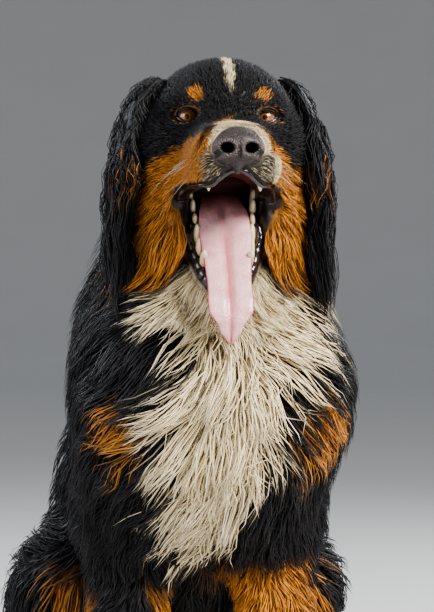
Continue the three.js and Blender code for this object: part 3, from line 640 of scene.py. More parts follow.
# %% Describe the body's markings
def rust_body(p):
    x, y, z = p.T
    side = np.abs(x)
    middle, breadth = np.where(x < 0, 76, 80), np.where(x < 0, 18, 22)
    beside = 1.1 - np.hypot((side - middle) / breadth, (z - 496) / 28)
    chest = smooth(beside + 0.12 * ripple(p, 40, 9), -0.08, 0.2) * fade(y, -500, -470)
    inside = np.where(x < 0, 66, 108) + 8 * ripple(p, 44, 10) - side
    inner = smooth(inside, -6, 6) * smooth(np.where(x < 0, 300, 335) - z, -10, 25) * fade(y, -440, -380)
    lower = smooth(190 + 16 * ripple(p, 50, 12) - z, -14, 14) * fade(y, -330, -300)
    knee = smooth(1.1 - np.hypot((side - 134) / 26, (z - 210) / 84), -0.1, 0.2) * fade(y, -270, -235)
    shank = smooth(118 + 12 * ripple(p, 44, 13) - z, -10, 10) * fade(y, -30, 10) * smooth(side, 50, 70)
    under_tail = smooth(1.1 - np.hypot(x / 44, (z - 18) / 32), -0.1, 0.2)
    under_tail = under_tail * smooth(y, 60, 90) * fade(y, 130, 150)
    return np.clip(chest + inner + lower + knee * 0.9 + shank + 0.8 * under_tail, 0, 1)


def white_body(p):
    x, y, z = p.T
    fore = smooth(84 + 7 * ripple(p, 36, 14) - z, -7, 7) * fade(y, -400, -380)
    hind = smooth(58 + 7 * ripple(p, 36, 15) - z, -7, 7) * fade(y, -190, -170) * smooth(y, -345, -335)
    tail = smooth(-x, 140, 160) * smooth(y, 300, 320)
    return np.clip(fore + hind + tail, 0, 1)


forefoot = np.array([[FORE_BALL[0], FORE_BALL[1] - 30.0, 20]])
print("white of a forefoot:", round(float(white_body(forefoot)[0]), 2))

# %% [markdown]
# ## Joining the markings
# Head and body have markings of their own, which are faded into each other on the neck. The skin runs on
# into the mouth, where it is flesh, so the palate and all that the mouth takes away from the jaws are
# marked as well.

# %% Mark the skin
def palate(h):
    x, y, z = h.T
    beside = 33 - 0.6 * np.maximum(0, z + 56) - np.abs(x)
    ceiling = np.where(y > -76, -43, -56) - z
    within = np.minimum(np.minimum(beside, ceiling), np.minimum(np.minimum(y + 90, 118 - y), z + 118))
    return smooth(within, -1.5, 1.5)


def in_mouth(p):
    at = framed(p)
    carved = fade(to_masses(mouth_masses, at, 0), 1.2, 2.6)
    return np.maximum(np.maximum(smooth(-closed_dog(p), 1.5, 4), carved), palate(at["head"]))


def markings(p):
    h = in_head(p)
    x, y, z = h.T
    facing = smooth(z, -178, -162) * fade(y, 112, 124)
    white = np.clip(white_bib(p) * (1 - facing * smooth(z, -166, -148)), 0, 1)
    white = np.maximum(white, facing * white_face(h))
    white = np.maximum(white, (1 - facing) * white_body(p))
    rust = facing * rust_face(h) + (1 - facing) * rust_body(p)
    lip_front = smooth(-z, 44, 50) * fade(y, -70, -62) * smooth(34 - np.abs(x - 2), -4, 4)
    grey = lip_front * smooth(z, -100, -92) * facing
    return {"white": white, "rust": np.clip(rust * (1 - white), 0, 1), "grey": grey}


skin_marks = markings(skin_places)
for key in ("white", "rust"):
    skin_marks[key] = skin_marks[key] * (1 - 0.85 * skin_marks["grey"])
    add_mark(skin_mesh, key, skin_marks[key])
add_mark(skin_mesh, "mouth", in_mouth(skin_places))
print("share of the skin that is white:", round(float(skin_marks["white"].mean()), 3))

# %% [markdown]
# ## Materials
# A material here is a small net of nodes. This class makes the shader with its constant values set on its
# own sockets, and adds the marks, noises, mixed colours and bumps that the finishes below are made of.

# %% Start a material
class Finish:
    def __init__(self, name, roughness, **constants):
        self.material = bpy.data.materials.new(name)
        self.material.use_nodes = True
        self.nodes, self.links = self.material.node_tree.nodes, self.material.node_tree.links
        self.shader = self.nodes["Principled BSDF"]
        self.shader.inputs["Roughness"].default_value = roughness
        for key, value in constants.items():
            self.shader.inputs[key.replace("_", " ")].default_value = value

    def node(self, kind, **settings):
        made = self.nodes.new(kind)
        for key, value in settings.items():
            if hasattr(made, key):
                setattr(made, key, value)
            else:
                made.inputs[key.replace("_", " ")].default_value = value
        return made

    def mark(self, key):
        return self.node("ShaderNodeAttribute", attribute_name=key).outputs["Fac"]

    def pattern(self, kind, output, **settings):
        made = self.node(kind, **settings)
        self.links.new(self.nodes.new("ShaderNodeTexCoord").outputs["Object"], made.inputs["Vector"])
        return made.outputs[output]

    def noise(self, scale, detail=2.0):
        return self.pattern("ShaderNodeTexNoise", "Fac", Scale=scale, Detail=detail)

    def ranged(self, value, **limits):
        made = self.node("ShaderNodeMapRange", **limits)
        self.links.new(value, made.inputs["Value"])
        return made.outputs["Result"]

    def mixed(self, fac, one, other):
        mix = self.node("ShaderNodeMix", data_type="RGBA")
        for socket, value in (("Factor", fac), ("A", one), ("B", other)):
            named = (s for s in mix.inputs if s.name == socket and s.enabled)
            target = next(s for s in named if s.type in ("VALUE", "RGBA"))
            if hasattr(value, "links"):
                self.links.new(value, target)
            else:
                target.default_value = (*value, 1)
        return next(s for s in mix.outputs if s.type == "RGBA" and s.enabled)

    def bump(self, height, strength, depth, invert=False):
        made = self.node("ShaderNodeBump", Strength=strength, Distance=depth, invert=invert)
        self.links.new(height, made.inputs["Height"])
        self.paint(made.outputs["Normal"], "Normal")

    def grain(self, scale, depth, strength=0.5):
        noise = self.noise(scale, 4.0)
        self.bump(noise, strength, depth)
        return noise

    def paint(self, colour, socket="Base Color"):
        self.links.new(colour, self.shader.inputs[socket])


print("a finish can:", [name for name in vars(Finish) if not name.startswith("_")])

# %% [markdown]
# ## The colours of the coat
# Black hair is never quite black: it is a dark brown-black, with a painted blue-grey sheen towards the tips.
# Rust runs from ginger to dark brown at the root, and white hair is cream, darker at the root: each colour
# has a lit and a shaded copy. Every tuft takes a random tone between them, and painted shade darkens it
# towards the root, where the coat shades itself. The same net serves the skin, where it is darker as painted
# shade.

# %% Mix the coat's colours
# Each colour has a shaded and a lit copy: the lighter blue-grey black is a painted sheen, and the darker
# rust and cream are painted shade.
BLACK, BLACK_SHEEN = (0.0045, 0.004, 0.0045), (0.022, 0.021, 0.025)
RUST, RUST_SHADED = (0.72, 0.31, 0.055), (0.24, 0.08, 0.012)
CREAM, CREAM_SHADED = (1.0, 0.90, 0.66), (0.60, 0.46, 0.25)


def coat_finish(name, shade_dim, roughness):
    made = Finish(name, roughness, Specular_IOR_Level=0.3)
    # On the fur, the mix between the two copies is each tuft's random tone with painted shade at the root
    # and painted sheen at the tip; on the skin it is noise.
    shade = made.mark("shade") if shade_dim == 1 else made.noise(180.0, 3.0)
    black, rust, cream = (
        made.mixed(shade, *([shade_dim * c for c in colour] for colour in two))
        for two in ((BLACK, BLACK_SHEEN), (RUST_SHADED, RUST), (CREAM_SHADED, CREAM))
    )
    colour = made.mixed(made.mark("rust"), black, rust)
    return made, made.mixed(made.mark("white"), colour, cream)


fur, colour = coat_finish("fur", 1, 0.5)
fur.paint(colour)
# The skin takes the coat's colours at 0.42 of their brightness: painted shade, so that the gaps between the
# tufts read as shadow.
under_coat, colour = coat_finish("skin_under_the_coat", 0.42, 0.6)
colour = under_coat.mixed(under_coat.mark("mouth"), colour, (0.055, 0.006, 0.006))
under_coat.paint(under_coat.mixed(under_coat.mark("bare_skin"), colour, (0.006, 0.004, 0.004)))
under_coat.paint(under_coat.ranged(under_coat.mark("bare_skin"), To_Min=0.6, To_Max=0.28), "Roughness")
under_coat.grain(260.0, 0.0006)
skin_mesh.materials.append(under_coat.material)
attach(skin, "root")
flesh = ["head", "lower_jaw", "neck", "torso", "rump", "tail_base", "tail_tip"]
for side in ("left", "right"):
    flesh += [part + side for part in ("foreleg_", "forepaw_", "thigh_", "shank_", "hind_foot_")]
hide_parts(*flesh)
print("skin replaces", len(flesh), "nodes")

# %% [markdown]
# ## Eyes
# The eyes are amber-brown balls with a dark pupil and a darker ring at the edge of the iris. Each is one
# closed ball with the clear cornea's bulge. How far a vertex is from the line of sight is kept on it, and a
# colour ramp turns that into pupil, iris and white. A clear coat gives the wet shine.

# %% Make the eyes
IRIS = 0.60  # radians from the line of sight
PUPIL = (0.002, 0.002, 0.002)
eye_finish = Finish("eye", 0.25, Coat_Weight=1.0, Coat_Roughness=0.02)
ramp = eye_finish.node("ShaderNodeValToRGB")
stops = [
    (0.0, PUPIL), (0.16, PUPIL), (0.185, (0.16, 0.05, 0.01)), (0.33, (0.70, 0.27, 0.04)),
    (0.40, (0.42, 0.13, 0.02)), (0.435, (0.02, 0.008, 0.004)), (0.49, (0.26, 0.15, 0.11)),
]
while len(ramp.color_ramp.elements) < len(stops):
    ramp.color_ramp.elements.new(0.5)
for element, (at, value) in zip(ramp.color_ramp.elements, stops):
    element.position = at
    element.color = (*value, 1)
eye_finish.links.new(eye_finish.mark("off_sight"), ramp.inputs["Fac"])
iris = eye_finish.mixed(eye_finish.noise(900.0, 3.0), ramp.outputs["Color"], (0.16, 0.05, 0.01))
pupil_edge = eye_finish.ranged(eye_finish.mark("off_sight"), From_Min=0.17, From_Max=0.2)
eye_finish.paint(eye_finish.mixed(pupil_edge, PUPIL, iris))


def round_ball(across, down):
    angles = np.linspace(0, 2 * np.pi, across, endpoint=False)
    rings = []
    for t in np.linspace(0, np.pi, down + 1)[1:-1]:
        ring = (np.sin(t) * np.cos(angles), np.full(across, -np.cos(t)), np.sin(t) * np.sin(angles))
        rings.append(np.stack(ring, 1))
    points = np.concatenate([[(0, -1, 0)], *rings, [(0, 1, 0)]])
    last = len(points) - 1
    faces = []
    for i in range(across):
        j = (i + 1) % across
        faces.append((0, 1 + j, 1 + i, 1 + i))
        faces.append((last, last - across + i, last - across + j, last - across + j))
        for ring in range(down - 2):
            a = 1 + ring * across
            faces.append((a + i, a + j, a + across + j, a + across + i))
    return points, faces


ball_points, ball_faces = round_ball(48, 32)
off_sight = np.arccos(np.clip(-ball_points[:, 1], -1, 1))
bulge = 1 + 0.05 * np.cos(np.clip(off_sight / IRIS, 0, 1) * np.pi / 2) ** 2
camera_in_head = in_head([[v / MM for v in CAMERA_PLACE]])[0]
for side, name in ((1, "eye_left"), (-1, "eye_right")):
    centre = np.array(mirrored(EYE_PLACE, side), float)
    sight = Vector(camera_in_head - centre).normalized()
    turn = np.array(Vector((0, -1, 0)).rotation_difference(sight).to_matrix())
    points = (ball_points * bulge[:, None] * EYE_RADIUS) @ turn.T + centre
    mesh = from_faces(name, through(head_frame, points), ball_faces, off_sight=off_sight)
    piece(name + "_ball", mesh, eye_finish, [name])
print("eyes look at", [round(v) for v in camera_in_head], "in the head's frame")

# %% [markdown]
# ## Tubes
# The rims of the lids, the lips, the teeth and the claws are all lofts: rings of points along a line. One
# helper makes them, with a radius for each ring.

# %% Loft along a line
def smooth_line(points, steps):
    points = np.asarray(points, float)
    ends = np.concatenate([[2 * points[0] - points[1]], points, [2 * points[-1] - points[-2]]])
    at = np.linspace(0, len(points) - 1 - 1e-9, steps)
    i = at.astype(int)
    t = (at - i)[:, None]
    a, b, c, d = (ends[i + k] for k in range(4))
    return 0.5 * (2 * b + (c - a) * t + (2 * a - 5 * b + 4 * c - d) * t * t + (3 * b - a - 3 * c + d) * t**3)


def loft(line, wide, deep, across, around, closed=False):
    line = np.asarray(line, float)
    count = len(line)
    if closed:
        along = unit(np.roll(line, -1, 0) - np.roll(line, 1, 0))
    else:
        along = unit(np.gradient(line, axis=0))
    side = np.broadcast_to(np.asarray(across, float), line.shape)
    side = unit(side - along * (side * along).sum(1, keepdims=True))
    out = np.cross(along, side)
    wide, deep = np.broadcast_to(wide, count), np.broadcast_to(deep, count)
    angle = np.linspace(0, 2 * np.pi, around, endpoint=False)
    points = (
        line[:, None] + side[:, None] * (wide[:, None] * np.cos(angle))[..., None]
        + out[:, None] * (deep[:, None] * np.sin(angle))[..., None]
    ).reshape(-1, 3)
    faces = []
    for ring in range(count if closed else count - 1):
        a, b = ring * around, (ring + 1) % count * around
        for k in range(around):
            n = (k + 1) % around
            faces.append((a + k, a + n, b + n, b + k))
    if not closed:
        faces.append(tuple(reversed(range(around))))
        faces.append(tuple(range((count - 1) * around, count * around)))
    return points, faces


def many(shapes):
    points, faces, base = [], [], 0
    for shape_points, shape_faces in shapes:
        points.append(shape_points)
        faces += [tuple(v + base for v in f) for f in shape_faces]
        base += len(shape_points)
    return np.concatenate(points), faces


print("a test line:", smooth_line([(0, 0, 0), (0, 4, 6), (0, 4, 12)], 3).round(1).tolist())

# %% [markdown]
# ## Rims of the lids
# A dog's lids have a bare black rim that is always a little wet. It is a thin closed loop round the
# opening.

# %% Make the rims
RIM_WIDE, RIM_HIGH, RIM_RADIUS = 11.6, 7.2, 13.4
wet_black = Finish("wet_black_skin", 0.22, Coat_Weight=0.6, Coat_Roughness=0.1)
wet_black.paint(
    wet_black.mixed(wet_black.grain(420.0, 0.0008), (0.004, 0.003, 0.003), (0.03, 0.018, 0.018))
)
angle = np.linspace(0, 2 * np.pi, 64, endpoint=False)
corner = np.abs(np.cos(angle)) ** 3
rims = []
for side in (1, -1):
    x = RIM_WIDE * np.cos(angle)
    z = RIM_HIGH * np.sin(angle) * (1 - 0.25 * corner) + 0.8 * np.cos(angle) * side
    y = -np.sqrt(np.maximum(RIM_RADIUS**2 - x * x - z * z, 1))
    line = np.stack([x, y, z], 1) + np.array(mirrored(EYE_PLACE, side))
    rims.append(loft(line, 1.8, 1.5, (0, -1, 0), 8, closed=True))
points, faces = many(rims)
piece("eye_rims", from_faces("eye_rims", through(head_frame, points), faces), wet_black)
print("rims:", len(faces), "faces")

# %% [markdown]
# ## The nose
# The nose pad is a broad cushion with two comma-shaped nostrils, a groove down its middle and a pebbled
# surface. It is drawn from distances too, so the nostrils melt softly into it, and the pebbles are a cell
# pattern in the bump.

# %% Make the nose
NOSE_PLACE = np.array((0, -104, -40), np.float32)
nose_lumps = (
    ball("head", (0, -104, -39), (24, 19, 19), 0, 0)
    + pair(ball("head", (13, -102, -44), (13, 15, 14), 0, 6))
    + pair(ball("head", (16, -112, -42), (9, 8, 9), 0, 5))  # wings of the nostrils
    + ball("head", (0, -101, -58), (5, 11, 9), 0, 6)
)
nose_holes = pair(cone("head", (13, -127, -43), (11, -108, -41), 5.2, 4.4, 0, 0, 1.3))
nose_holes += pair(cone("head", (20, -121, -47), (25, -108, -50), 2.4, 1.5, 0, 4))  # slits
nose_groove = cone("head", (0, -126, -36), (0, -110, -72), 1.9, 1.9, 0, 0)


def nose_distance(points):
    at = framed(points)
    body = -blended(-to_masses(nose_lumps, at, 0), to_masses(nose_holes, at, 0), 3)
    return -blended(-body, to_masses(nose_groove, at, 0), 1.0)


nose_centre = through(head_frame, [NOSE_PLACE])[0]
points, faces = surface(nose_distance, nose_centre - (32, 30, 42), nose_centre + (32, 30, 28), 1.0)
to_holes = to_masses(nose_holes, framed(points), 0)
to_groove = to_masses(nose_groove, framed(points), 0)
# The nostrils and the groove down the middle are painted near black: painted shade in the recesses.
hole = np.maximum(fade(to_holes, 0.2, 1.6), 0.9 - 0.9 * smooth(to_groove, 0.1, 0.8))
rim = smooth(to_holes, 0.8, 2.0) * fade(to_holes, 3.0, 6.5)
leather = Finish("nose_leather", 0.42, Coat_Weight=0.15, Coat_Roughness=0.35)
leather.bump(leather.pattern("ShaderNodeTexVoronoi", "Distance", Scale=620.0), 0.9, 0.0016, invert=True)
colour = leather.mixed(leather.noise(90.0, 4.0), (0.010, 0.007, 0.007), (0.034, 0.024, 0.023))
colour = leather.mixed(leather.mark("rim"), colour, (0.10, 0.062, 0.06))
leather.paint(leather.mixed(leather.mark("hole"), colour, (0.002, 0.0015, 0.0015)))
piece("nose", mesh_from("nose", points, faces, hole=hole, rim=0.6 * rim), leather, ["nose_pad"])
print("nose:", len(points), "vertices")

# %% [markdown]
# ## The tongue
# A panting dog's tongue is wide, thin and grooved, with raised red edges, and it narrows to a short tip. It
# is a loft through the stations of the solid tongue, with many more rings and a groove that is deepest in
# the middle.

# %% Make the tongue
#   place, half width, thickness
TONGUE = [
    ((0, 66, -84), 20, 14), ((0, 38, -98), 25, 14), ((0, 12, -124), 28, 13), ((0, -10, -152), 25, 12),
    ((0, -26, -176), 23, 11), ((0, -38, -192), 23.5, 10), ((0, -43, -205), 22, 8), ((0, -44, -214), 15, 7),
    ((0, -42, -226), 9, 5), ((0, -40, -235), 2, 2),
]
RINGS, AROUND = 110, 40
line = smooth_line([s[0] for s in TONGUE], RINGS)
sizes = smooth_line([(s[1], s[2], 0) for s in TONGUE], RINGS)
points, faces = loft(line, sizes[:, 0], sizes[:, 1] / 2, (1, 0, 0), AROUND)
angle = np.tile(np.linspace(0, 2 * np.pi, AROUND, endpoint=False), RINGS)
ring = np.repeat(np.arange(RINGS) / (RINGS - 1), AROUND)
half, thick = np.repeat(sizes[:, 0], AROUND), np.repeat(sizes[:, 1], AROUND)
along = unit(np.gradient(line, axis=0))
front = np.repeat(np.cross(along, (1.0, 0, 0)), AROUND, axis=0)
across_share = np.cos(angle)
facing_out = np.clip((front * (0, -1, 0)).sum(1), -1, 1)
front *= np.sign(facing_out + 1e-9)[:, None]
in_front = ((points - np.repeat(line, AROUND, axis=0)) * front).sum(1) > 0
groove = np.exp(-((across_share / 0.16) ** 2)) * in_front * smooth(ring, 0.02, 0.15)
curl = (across_share**2) * 3 * half / 25
wavy = 0.7 * np.sin(ring * 60) * across_share**4
points += front * (curl + wavy - groove * thick * 0.42)[:, None]
edge = smooth(np.abs(across_share), 0.92, 1.0) * smooth(ring, 0.1, 0.3)
tip = smooth(ring, 0.86, 0.99)
tongue_finish = Finish(
    "tongue", 0.34, Subsurface_Weight=0.25, Subsurface_Scale=0.004, Coat_Weight=0.35, Coat_Roughness=0.22
)
tongue_finish.grain(420.0, 0.0014, 0.7)
# The colour wanders at random between deeper and paler pink: partly the tongue's own patchy tone, partly its
# whitish wet sheen painted in.
colour = tongue_finish.mixed(tongue_finish.noise(70.0, 4.0), (0.47, 0.20, 0.22), (0.76, 0.50, 0.50))
tongue_finish.paint(tongue_finish.mixed(tongue_finish.mark("red"), colour, (0.42, 0.035, 0.045)))
# The red mark is the tongue's own red edges and tip, painted shade in the groove, and a darker red towards
# the root.
groove_shade, at_root = groove * smooth(ring, 0.15, 0.3), smooth(-ring, -0.22, -0.05)
red = np.clip(edge + 0.75 * groove_shade + 0.5 * tip + 0.25 * at_root, 0, 1)
mesh = from_faces("tongue_grooved", through(head_frame, points), faces, red=red)
piece("tongue_grooved", mesh, tongue_finish, ["tongue"])
print("tongue:", len(points), "vertices")

# %% [markdown]
# ## Teeth
# Only the teeth that the open mouth shows are there: the canines and the premolars of both jaws. Each is a
# small loft that leans back a little and ends in a blunt point. Old ivory darkens towards the gum.

# %% Make the teeth
TOOTH_AROUND = 12
ivory = Finish("tooth", 0.22, Coat_Weight=0.3)
colour = ivory.mixed(ivory.noise(160.0, 3.0), (0.86, 0.78, 0.60), (0.62, 0.47, 0.24))
ivory.paint(ivory.mixed(ivory.mark("gum_side"), colour, (0.42, 0.24, 0.09)))


def tooth(frame_of, root, tip, wide, deep):
    t = np.linspace(0, 1, 9)
    lean = np.array([0, 1.6, 0]) * np.sin(np.pi * t)[:, None]
    line = np.asarray(root) + (np.asarray(tip) - np.asarray(root)) * t[:, None] + lean
    shape = np.sqrt(np.clip(1 - t**2.2, 0.012, 1))
    points, faces = loft(line, wide * shape, deep * shape, (0, 1, 0), TOOTH_AROUND)
    return through(frame_of, points), faces, np.repeat(1 - t, TOOTH_AROUND)


def teeth_row(frame_of, side, first, last, heights, up, wide):
    row = []
    for i, height in enumerate(heights):
        at = np.array(first) + (np.array(last) - np.array(first)) * i / (len(heights) - 1)
        at[0] *= side
        row.append(tooth(frame_of, at - (0, 0, up * 6), at + (0, 0, up * height), wide, 4.4))
    return row


teeth = []
for side in (1, -1):
    teeth += teeth_row(head_frame, side, (29, -56, -64), (36, -2, -64), (8, 8, 9, 10), -1, 6.0)
    teeth += teeth_row(jaw_frame, side, (27, -46, -54), (34, 18, -50), (12, 14, 13, 18, 16), 1, 10.0)
    teeth.append(tooth(head_frame, (side * 26, -72, -56), (side * 26, -74, -82), 5.0, 4.4))
    teeth.append(tooth(jaw_frame, (side * 23, -64, -62), (side * 25, -70, -34), 5.6, 5.0))
points, faces = many([(p, f) for p, f, _ in teeth])
gum_side = np.concatenate([g for *_, g in teeth]) ** 2
piece("teeth", from_faces("teeth", points, faces, gum_side=gum_side), ivory)
print("teeth:", len(teeth))

# %% [markdown]
# ## Lips
# The lips are bare black skin along the edge of the mouth, scalloped on the lower jaw. Each is a closed
# tube that is laid on the skin where the mouth begins, half sunk into it.

# %% Make the lips
LIP_STEPS = 180


def lip(frame_of, guess, radius, scallop):
    line = through(frame_of, smooth_line(guess, LIP_STEPS))
    line = laid_on(line, dog, rounds=3, most=8)
    t = np.linspace(0, 1, LIP_STEPS)
    swell = 1 + scallop * (np.abs(np.sin(t * LIP_STEPS * 0.5)) + 0.4 * ripple(line, 9, 50))
    ends = np.clip(np.minimum(t, 1 - t) * 9, 0.25, 1)
    lip_places.extend(line.tolist())
    return loft(line, radius * swell * ends, radius * 0.8 * swell * ends, (0, 0, 1), 10)


upper = [
    (52, 30, -86), (52, 10, -84), (46, -18, -80), (40, -46, -78),
    (32, -74, -77), (18, -94, -72), (0, -100, -66),
]
lower = [
    (54, 40, -52), (50, 16, -50), (43, -12, -54), (36, -40, -58),
    (28, -68, -63), (16, -88, -68), (0, -95, -72),
]
lips, lip_places = [], []
for frame_of, half_line, radius, scallop in ((head_frame, upper, 2.6, 0.1), (jaw_frame, lower, 4.8, 0.32)):
    other_half = [mirrored(place, -1) for place in half_line[-2::-1]]
    lips.append(lip(frame_of, half_line + other_half, radius, scallop))
points, faces = many(lips)
piece("lips", from_faces("lips", points, faces), wet_black)
print("lips:", len(faces), "faces")

# %% [markdown]
# ## Claws
# The claws are blunt, dark and curved down. Each is a loft that starts inside its toe.

# %% Make the claws
CLAW_STEPS = 9
CLAW_BEND = [(0, -6, 2), (0, -14, 1), (0, -20, -5), (0, -23, -11)]
horn = Finish("claw_horn", 0.38)
horn.paint(horn.mixed(horn.grain(300.0, 0.0003), (0.012, 0.010, 0.009), (0.06, 0.045, 0.035)))
claws = []
for _, tip in all_toes:
    for side in (1, -1):
        line = smooth_line(np.array(mirrored(tip, side)) + CLAW_BEND, CLAW_STEPS)
        line[:, 2] = np.maximum(line[:, 2], 5)
        size = np.linspace(4.4, 1.0, CLAW_STEPS)
        claws.append(loft(line, size * 0.85, size, (1, 0, 0), 10))
points, faces = many(claws)
points[:, 2] = np.maximum(points[:, 2], 0.5)
piece("claws", from_faces("claws", points, faces), horn)
print("claws:", len(claws))

# %% [markdown]
# ## Ear flaps
# The ears are triangular and hang close to the head. Each flap is a loft through the stations of the solid
# ear, a little thinner, and carries its own long hair.

# %% Make the ear flaps
#   place, half width, thickness
EAR = [
    ((52, 70, 34), 24, 12), ((74, 70, 41), 33, 13), ((92, 68, 24), 42, 13), ((106, 66, -10), 46, 13),
    ((113, 66, -50), 43, 13), ((115, 68, -90), 34, 12), ((112, 72, -125), 19, 10), ((109, 75, -142), 5, 6),
]
EAR_RINGS, EAR_AROUND = 44, 32
ear_flaps = {}
for side, name in ((1, "ear_left"), (-1, "ear_right")):
    line = smooth_line([mirrored(place, side) for place, *_ in EAR], EAR_RINGS)
    sizes = smooth_line([(s[1], s[2], 0) for s in EAR], EAR_RINGS)
    points, faces = loft(line, sizes[:, 0] * 0.94, sizes[:, 1] * 0.36, (0, 1, 0), EAR_AROUND)
    if side > 0:
        faces = [f[::-1] for f in faces]
    fan = np.tile(np.cos(np.linspace(0, 2 * np.pi, EAR_AROUND, endpoint=False)), EAR_RINGS)
    points[:, 0] -= side * 9 * fan**2 * np.repeat(sizes[:, 0], EAR_AROUND) / 40
    points = through(head_frame, points)
    down = -in_head(points)[:, 2]
    front_edge = smooth(-fan, 0.6, 0.95) * smooth(down, 26, 34) * fade(down, 50, 60)
    mesh = from_faces(name + "_flap", points, faces, rust=0.8 * front_edge)
    ring_share = np.repeat(np.linspace(0.02, 0.98, EAR_RINGS), EAR_AROUND)
    turn_share = np.tile(np.linspace(0.02, 0.98, EAR_AROUND), EAR_RINGS)
    on_map = np.stack([turn_share, ring_share], 1)
    map_onto(mesh, on_map)
    piece(name + "_flap", mesh, under_coat, [name])
    course = unit(np.gradient(line, axis=0) @ np.array(head_frame.to_3x3()).T)
    course = np.repeat(course, EAR_AROUND, axis=0)
    ear_flaps[side] = dict(points=points, course=course, uv=on_map, rust=front_edge)
print("ears:", len(ear_flaps))

# %% [markdown]
# ## The lie of the coat
# Hair grows away from the nose over the face, back along the neck, down over the sides and legs, out along
# the tail, and in a whorl on the chest, from where it spreads to both sides. The direction is always laid
# flat on the body and turned a little by slow waves, which gives the coat its loose look.

# %% Find the lie
WHORL = (4, 535)


def tail_direction(p):
    start, end = np.array(TAIL_POINTS[:-1], float), np.array(TAIL_POINTS[1:], float)
    far = np.linalg.norm(p[:, None] - ((start + end) / 2)[None], axis=2)
    return unit(end - start)[far.argmin(1)]


def lie(p, normal):
    x, y, z = p.T
    h = in_head(p)
    side = np.tanh(x / 20)
    flow = np.stack([0.12 * side, np.full(len(p), 0.5), np.full(len(p), -0.85)], 1)
    on_back = smooth(normal[:, 2], 0.3, 0.6)[:, None]
    flow = flow * (1 - on_back) + np.array([0, 0.85, -0.5]) * on_back
    chest = (smooth(-y, 455, 485) * smooth(z, 300, 340))[:, None]
    sideways = (x - WHORL[0]) / 72 * (0.3 + 0.7 * smooth(z, 390, 540)) - 0.16 * smooth(-z, -460, -380)
    spread = np.stack([sideways, np.zeros(len(p)), -0.75 + 0.0012 * np.maximum(0, z - WHORL[1])], 1)
    flow = flow * (1 - chest) + spread * chest
    on_tail = ((y > 60) & (z < 170))[:, None]
    flow = np.where(on_tail, tail_direction(p), flow)
    toes = smooth(-z, -100, -60)[:, None] * (1 - on_tail)
    flow = flow * (1 - toes) + np.array([0, -0.8, -0.45]) * toes
    from_nose = unit(h - np.array([0, -78, -46]))
    droop = (smooth(-h[:, 2], 30, 130) * 1.1)[:, None]
    face_flow = from_nose + droop * [0, 0.1, -1]
    turned = face_flow @ np.array(head_frame.to_3x3(), np.float32).T
    faced = (smooth(h[:, 2], -190, -160) * fade(h[:, 1], 90, 130))[:, None]
    flow = unit(flow) * (1 - faced) + unit(turned) * faced
    against = smooth(-(unit(flow) * normal).sum(1), 0.6, 0.95)
    flow = flow + np.stack([0.9 * side * against, -0.2 * against, -0.3 * against], 1)
    flow = unit(flow - normal * (flow * normal).sum(1, keepdims=True))
    sideways = np.cross(normal, flow)
    angle = (0.34 * ripple(p, 110, 21) + 0.22 * ripple(p, 38, 22))[:, None] * (1 - 0.6 * faced)
    return unit(flow * np.cos(angle) + sideways * np.sin(angle))


test = np.array([[60.0, -560, 535]], np.float32)
print("the chest's hair lies towards", lie(test, outward(test)).round(2)[0])

# %% [markdown]
# ## Where the tufts root
# Roots are drawn at random over the skin, with a fixed seed. Short hair needs many small tufts and long
# hair fewer large ones, so the number follows from the length and the width of the tufts at each place.

# %% Draw the roots
skin_mesh.calc_loop_triangles()
corner_vertices = read(skin_mesh.loop_triangles, "vertices", 3, np.int32)
corner_loops = read(skin_mesh.loop_triangles, "loops", 3, np.int32)
corners = skin_places[corner_vertices]
corner_uv = read(skin_mesh.uv_layers["OFBake"].data, "uv", 2, np.float32)[corner_loops]
areas = np.linalg.norm(np.cross(corners[:, 1] - corners[:, 0], corners[:, 2] - corners[:, 0]), axis=1) / 2
centres = corners.mean(1)
lip_tree = kdtree.KDTree(len(lip_places))
for i, place in enumerate(lip_places):
    lip_tree.insert(place, i)
lip_tree.balance()


def near_lips(p):
    far = np.full(len(p), 99.0)
    heads = in_head(p)
    for i in np.flatnonzero((heads[:, 1] < 90) & (heads[:, 2] < -40) & (heads[:, 2] > -220)):
        far[i] = lip_tree.find(p[i])[2]
    return far


#   height in the head's frame, how far out the black skin beside the mouth reaches
BLACK_SKIN = np.array([(-163, 27), (-144, 32), (-125, 41), (-106, 48), (-87, 54), (-70, 57)], float)


def on_corner(p):
    h = in_head(p)
    reach = np.interp(h[:, 2], BLACK_SKIN[:, 0], BLACK_SKIN[:, 1]) + 1.2 * ripple(p, 14, 17)
    level = smooth(h[:, 2], -176, -160) * fade(h[:, 2], -76, -68)
    return smooth(reach - np.abs(h[:, 0] - 1), -1.5, 2) * level * fade(h[:, 1], 50, 64)


add_mark(skin_mesh, "bare_skin", np.maximum(fade(near_lips(skin_places), 6, 9), on_corner(skin_places)))
print("points along the lips:", len(lip_places))

# %% [markdown]
# ## How long the hair is
# No hair grows on the eyes, the nose, the lips, in the mouth and under the soles. Elsewhere a tuft is about
# two and a half times as long as the coat is deep. It is shorter on the muzzle and by the eyes and the
# lips, and longer behind the forelegs, where it hangs as feathers.

# %% Measure the hair
SOLE_HEIGHT = 2.5
SHORTEST, LONGEST = 7, 96


def from_eye(h):
    return np.hypot((np.abs(h[:, 0]) - EYE_PLACE[0]) / 14, (h[:, 2] - EYE_PLACE[2]) / 10)


def bare(p):
    at = framed(p)
    h, j = at["head"], at["jaw"]
    on_eye = (from_eye(h) < 1) & (h[:, 1] < 14)
    on_bed = (j[:, 2] > -68) & (np.abs(j[:, 0]) < 44) & (j[:, 1] < 36) & (h[:, 2] < -70)
    in_nose = to_masses(nose_lumps, at, 0) < 0.5
    by_mouth = (in_mouth(p) > 0.3) | (near_lips(p) < 6) | (on_corner(p) > 0.3)
    return by_mouth | on_eye | in_nose | on_bed | (p[:, 2] < SOLE_HEIGHT)


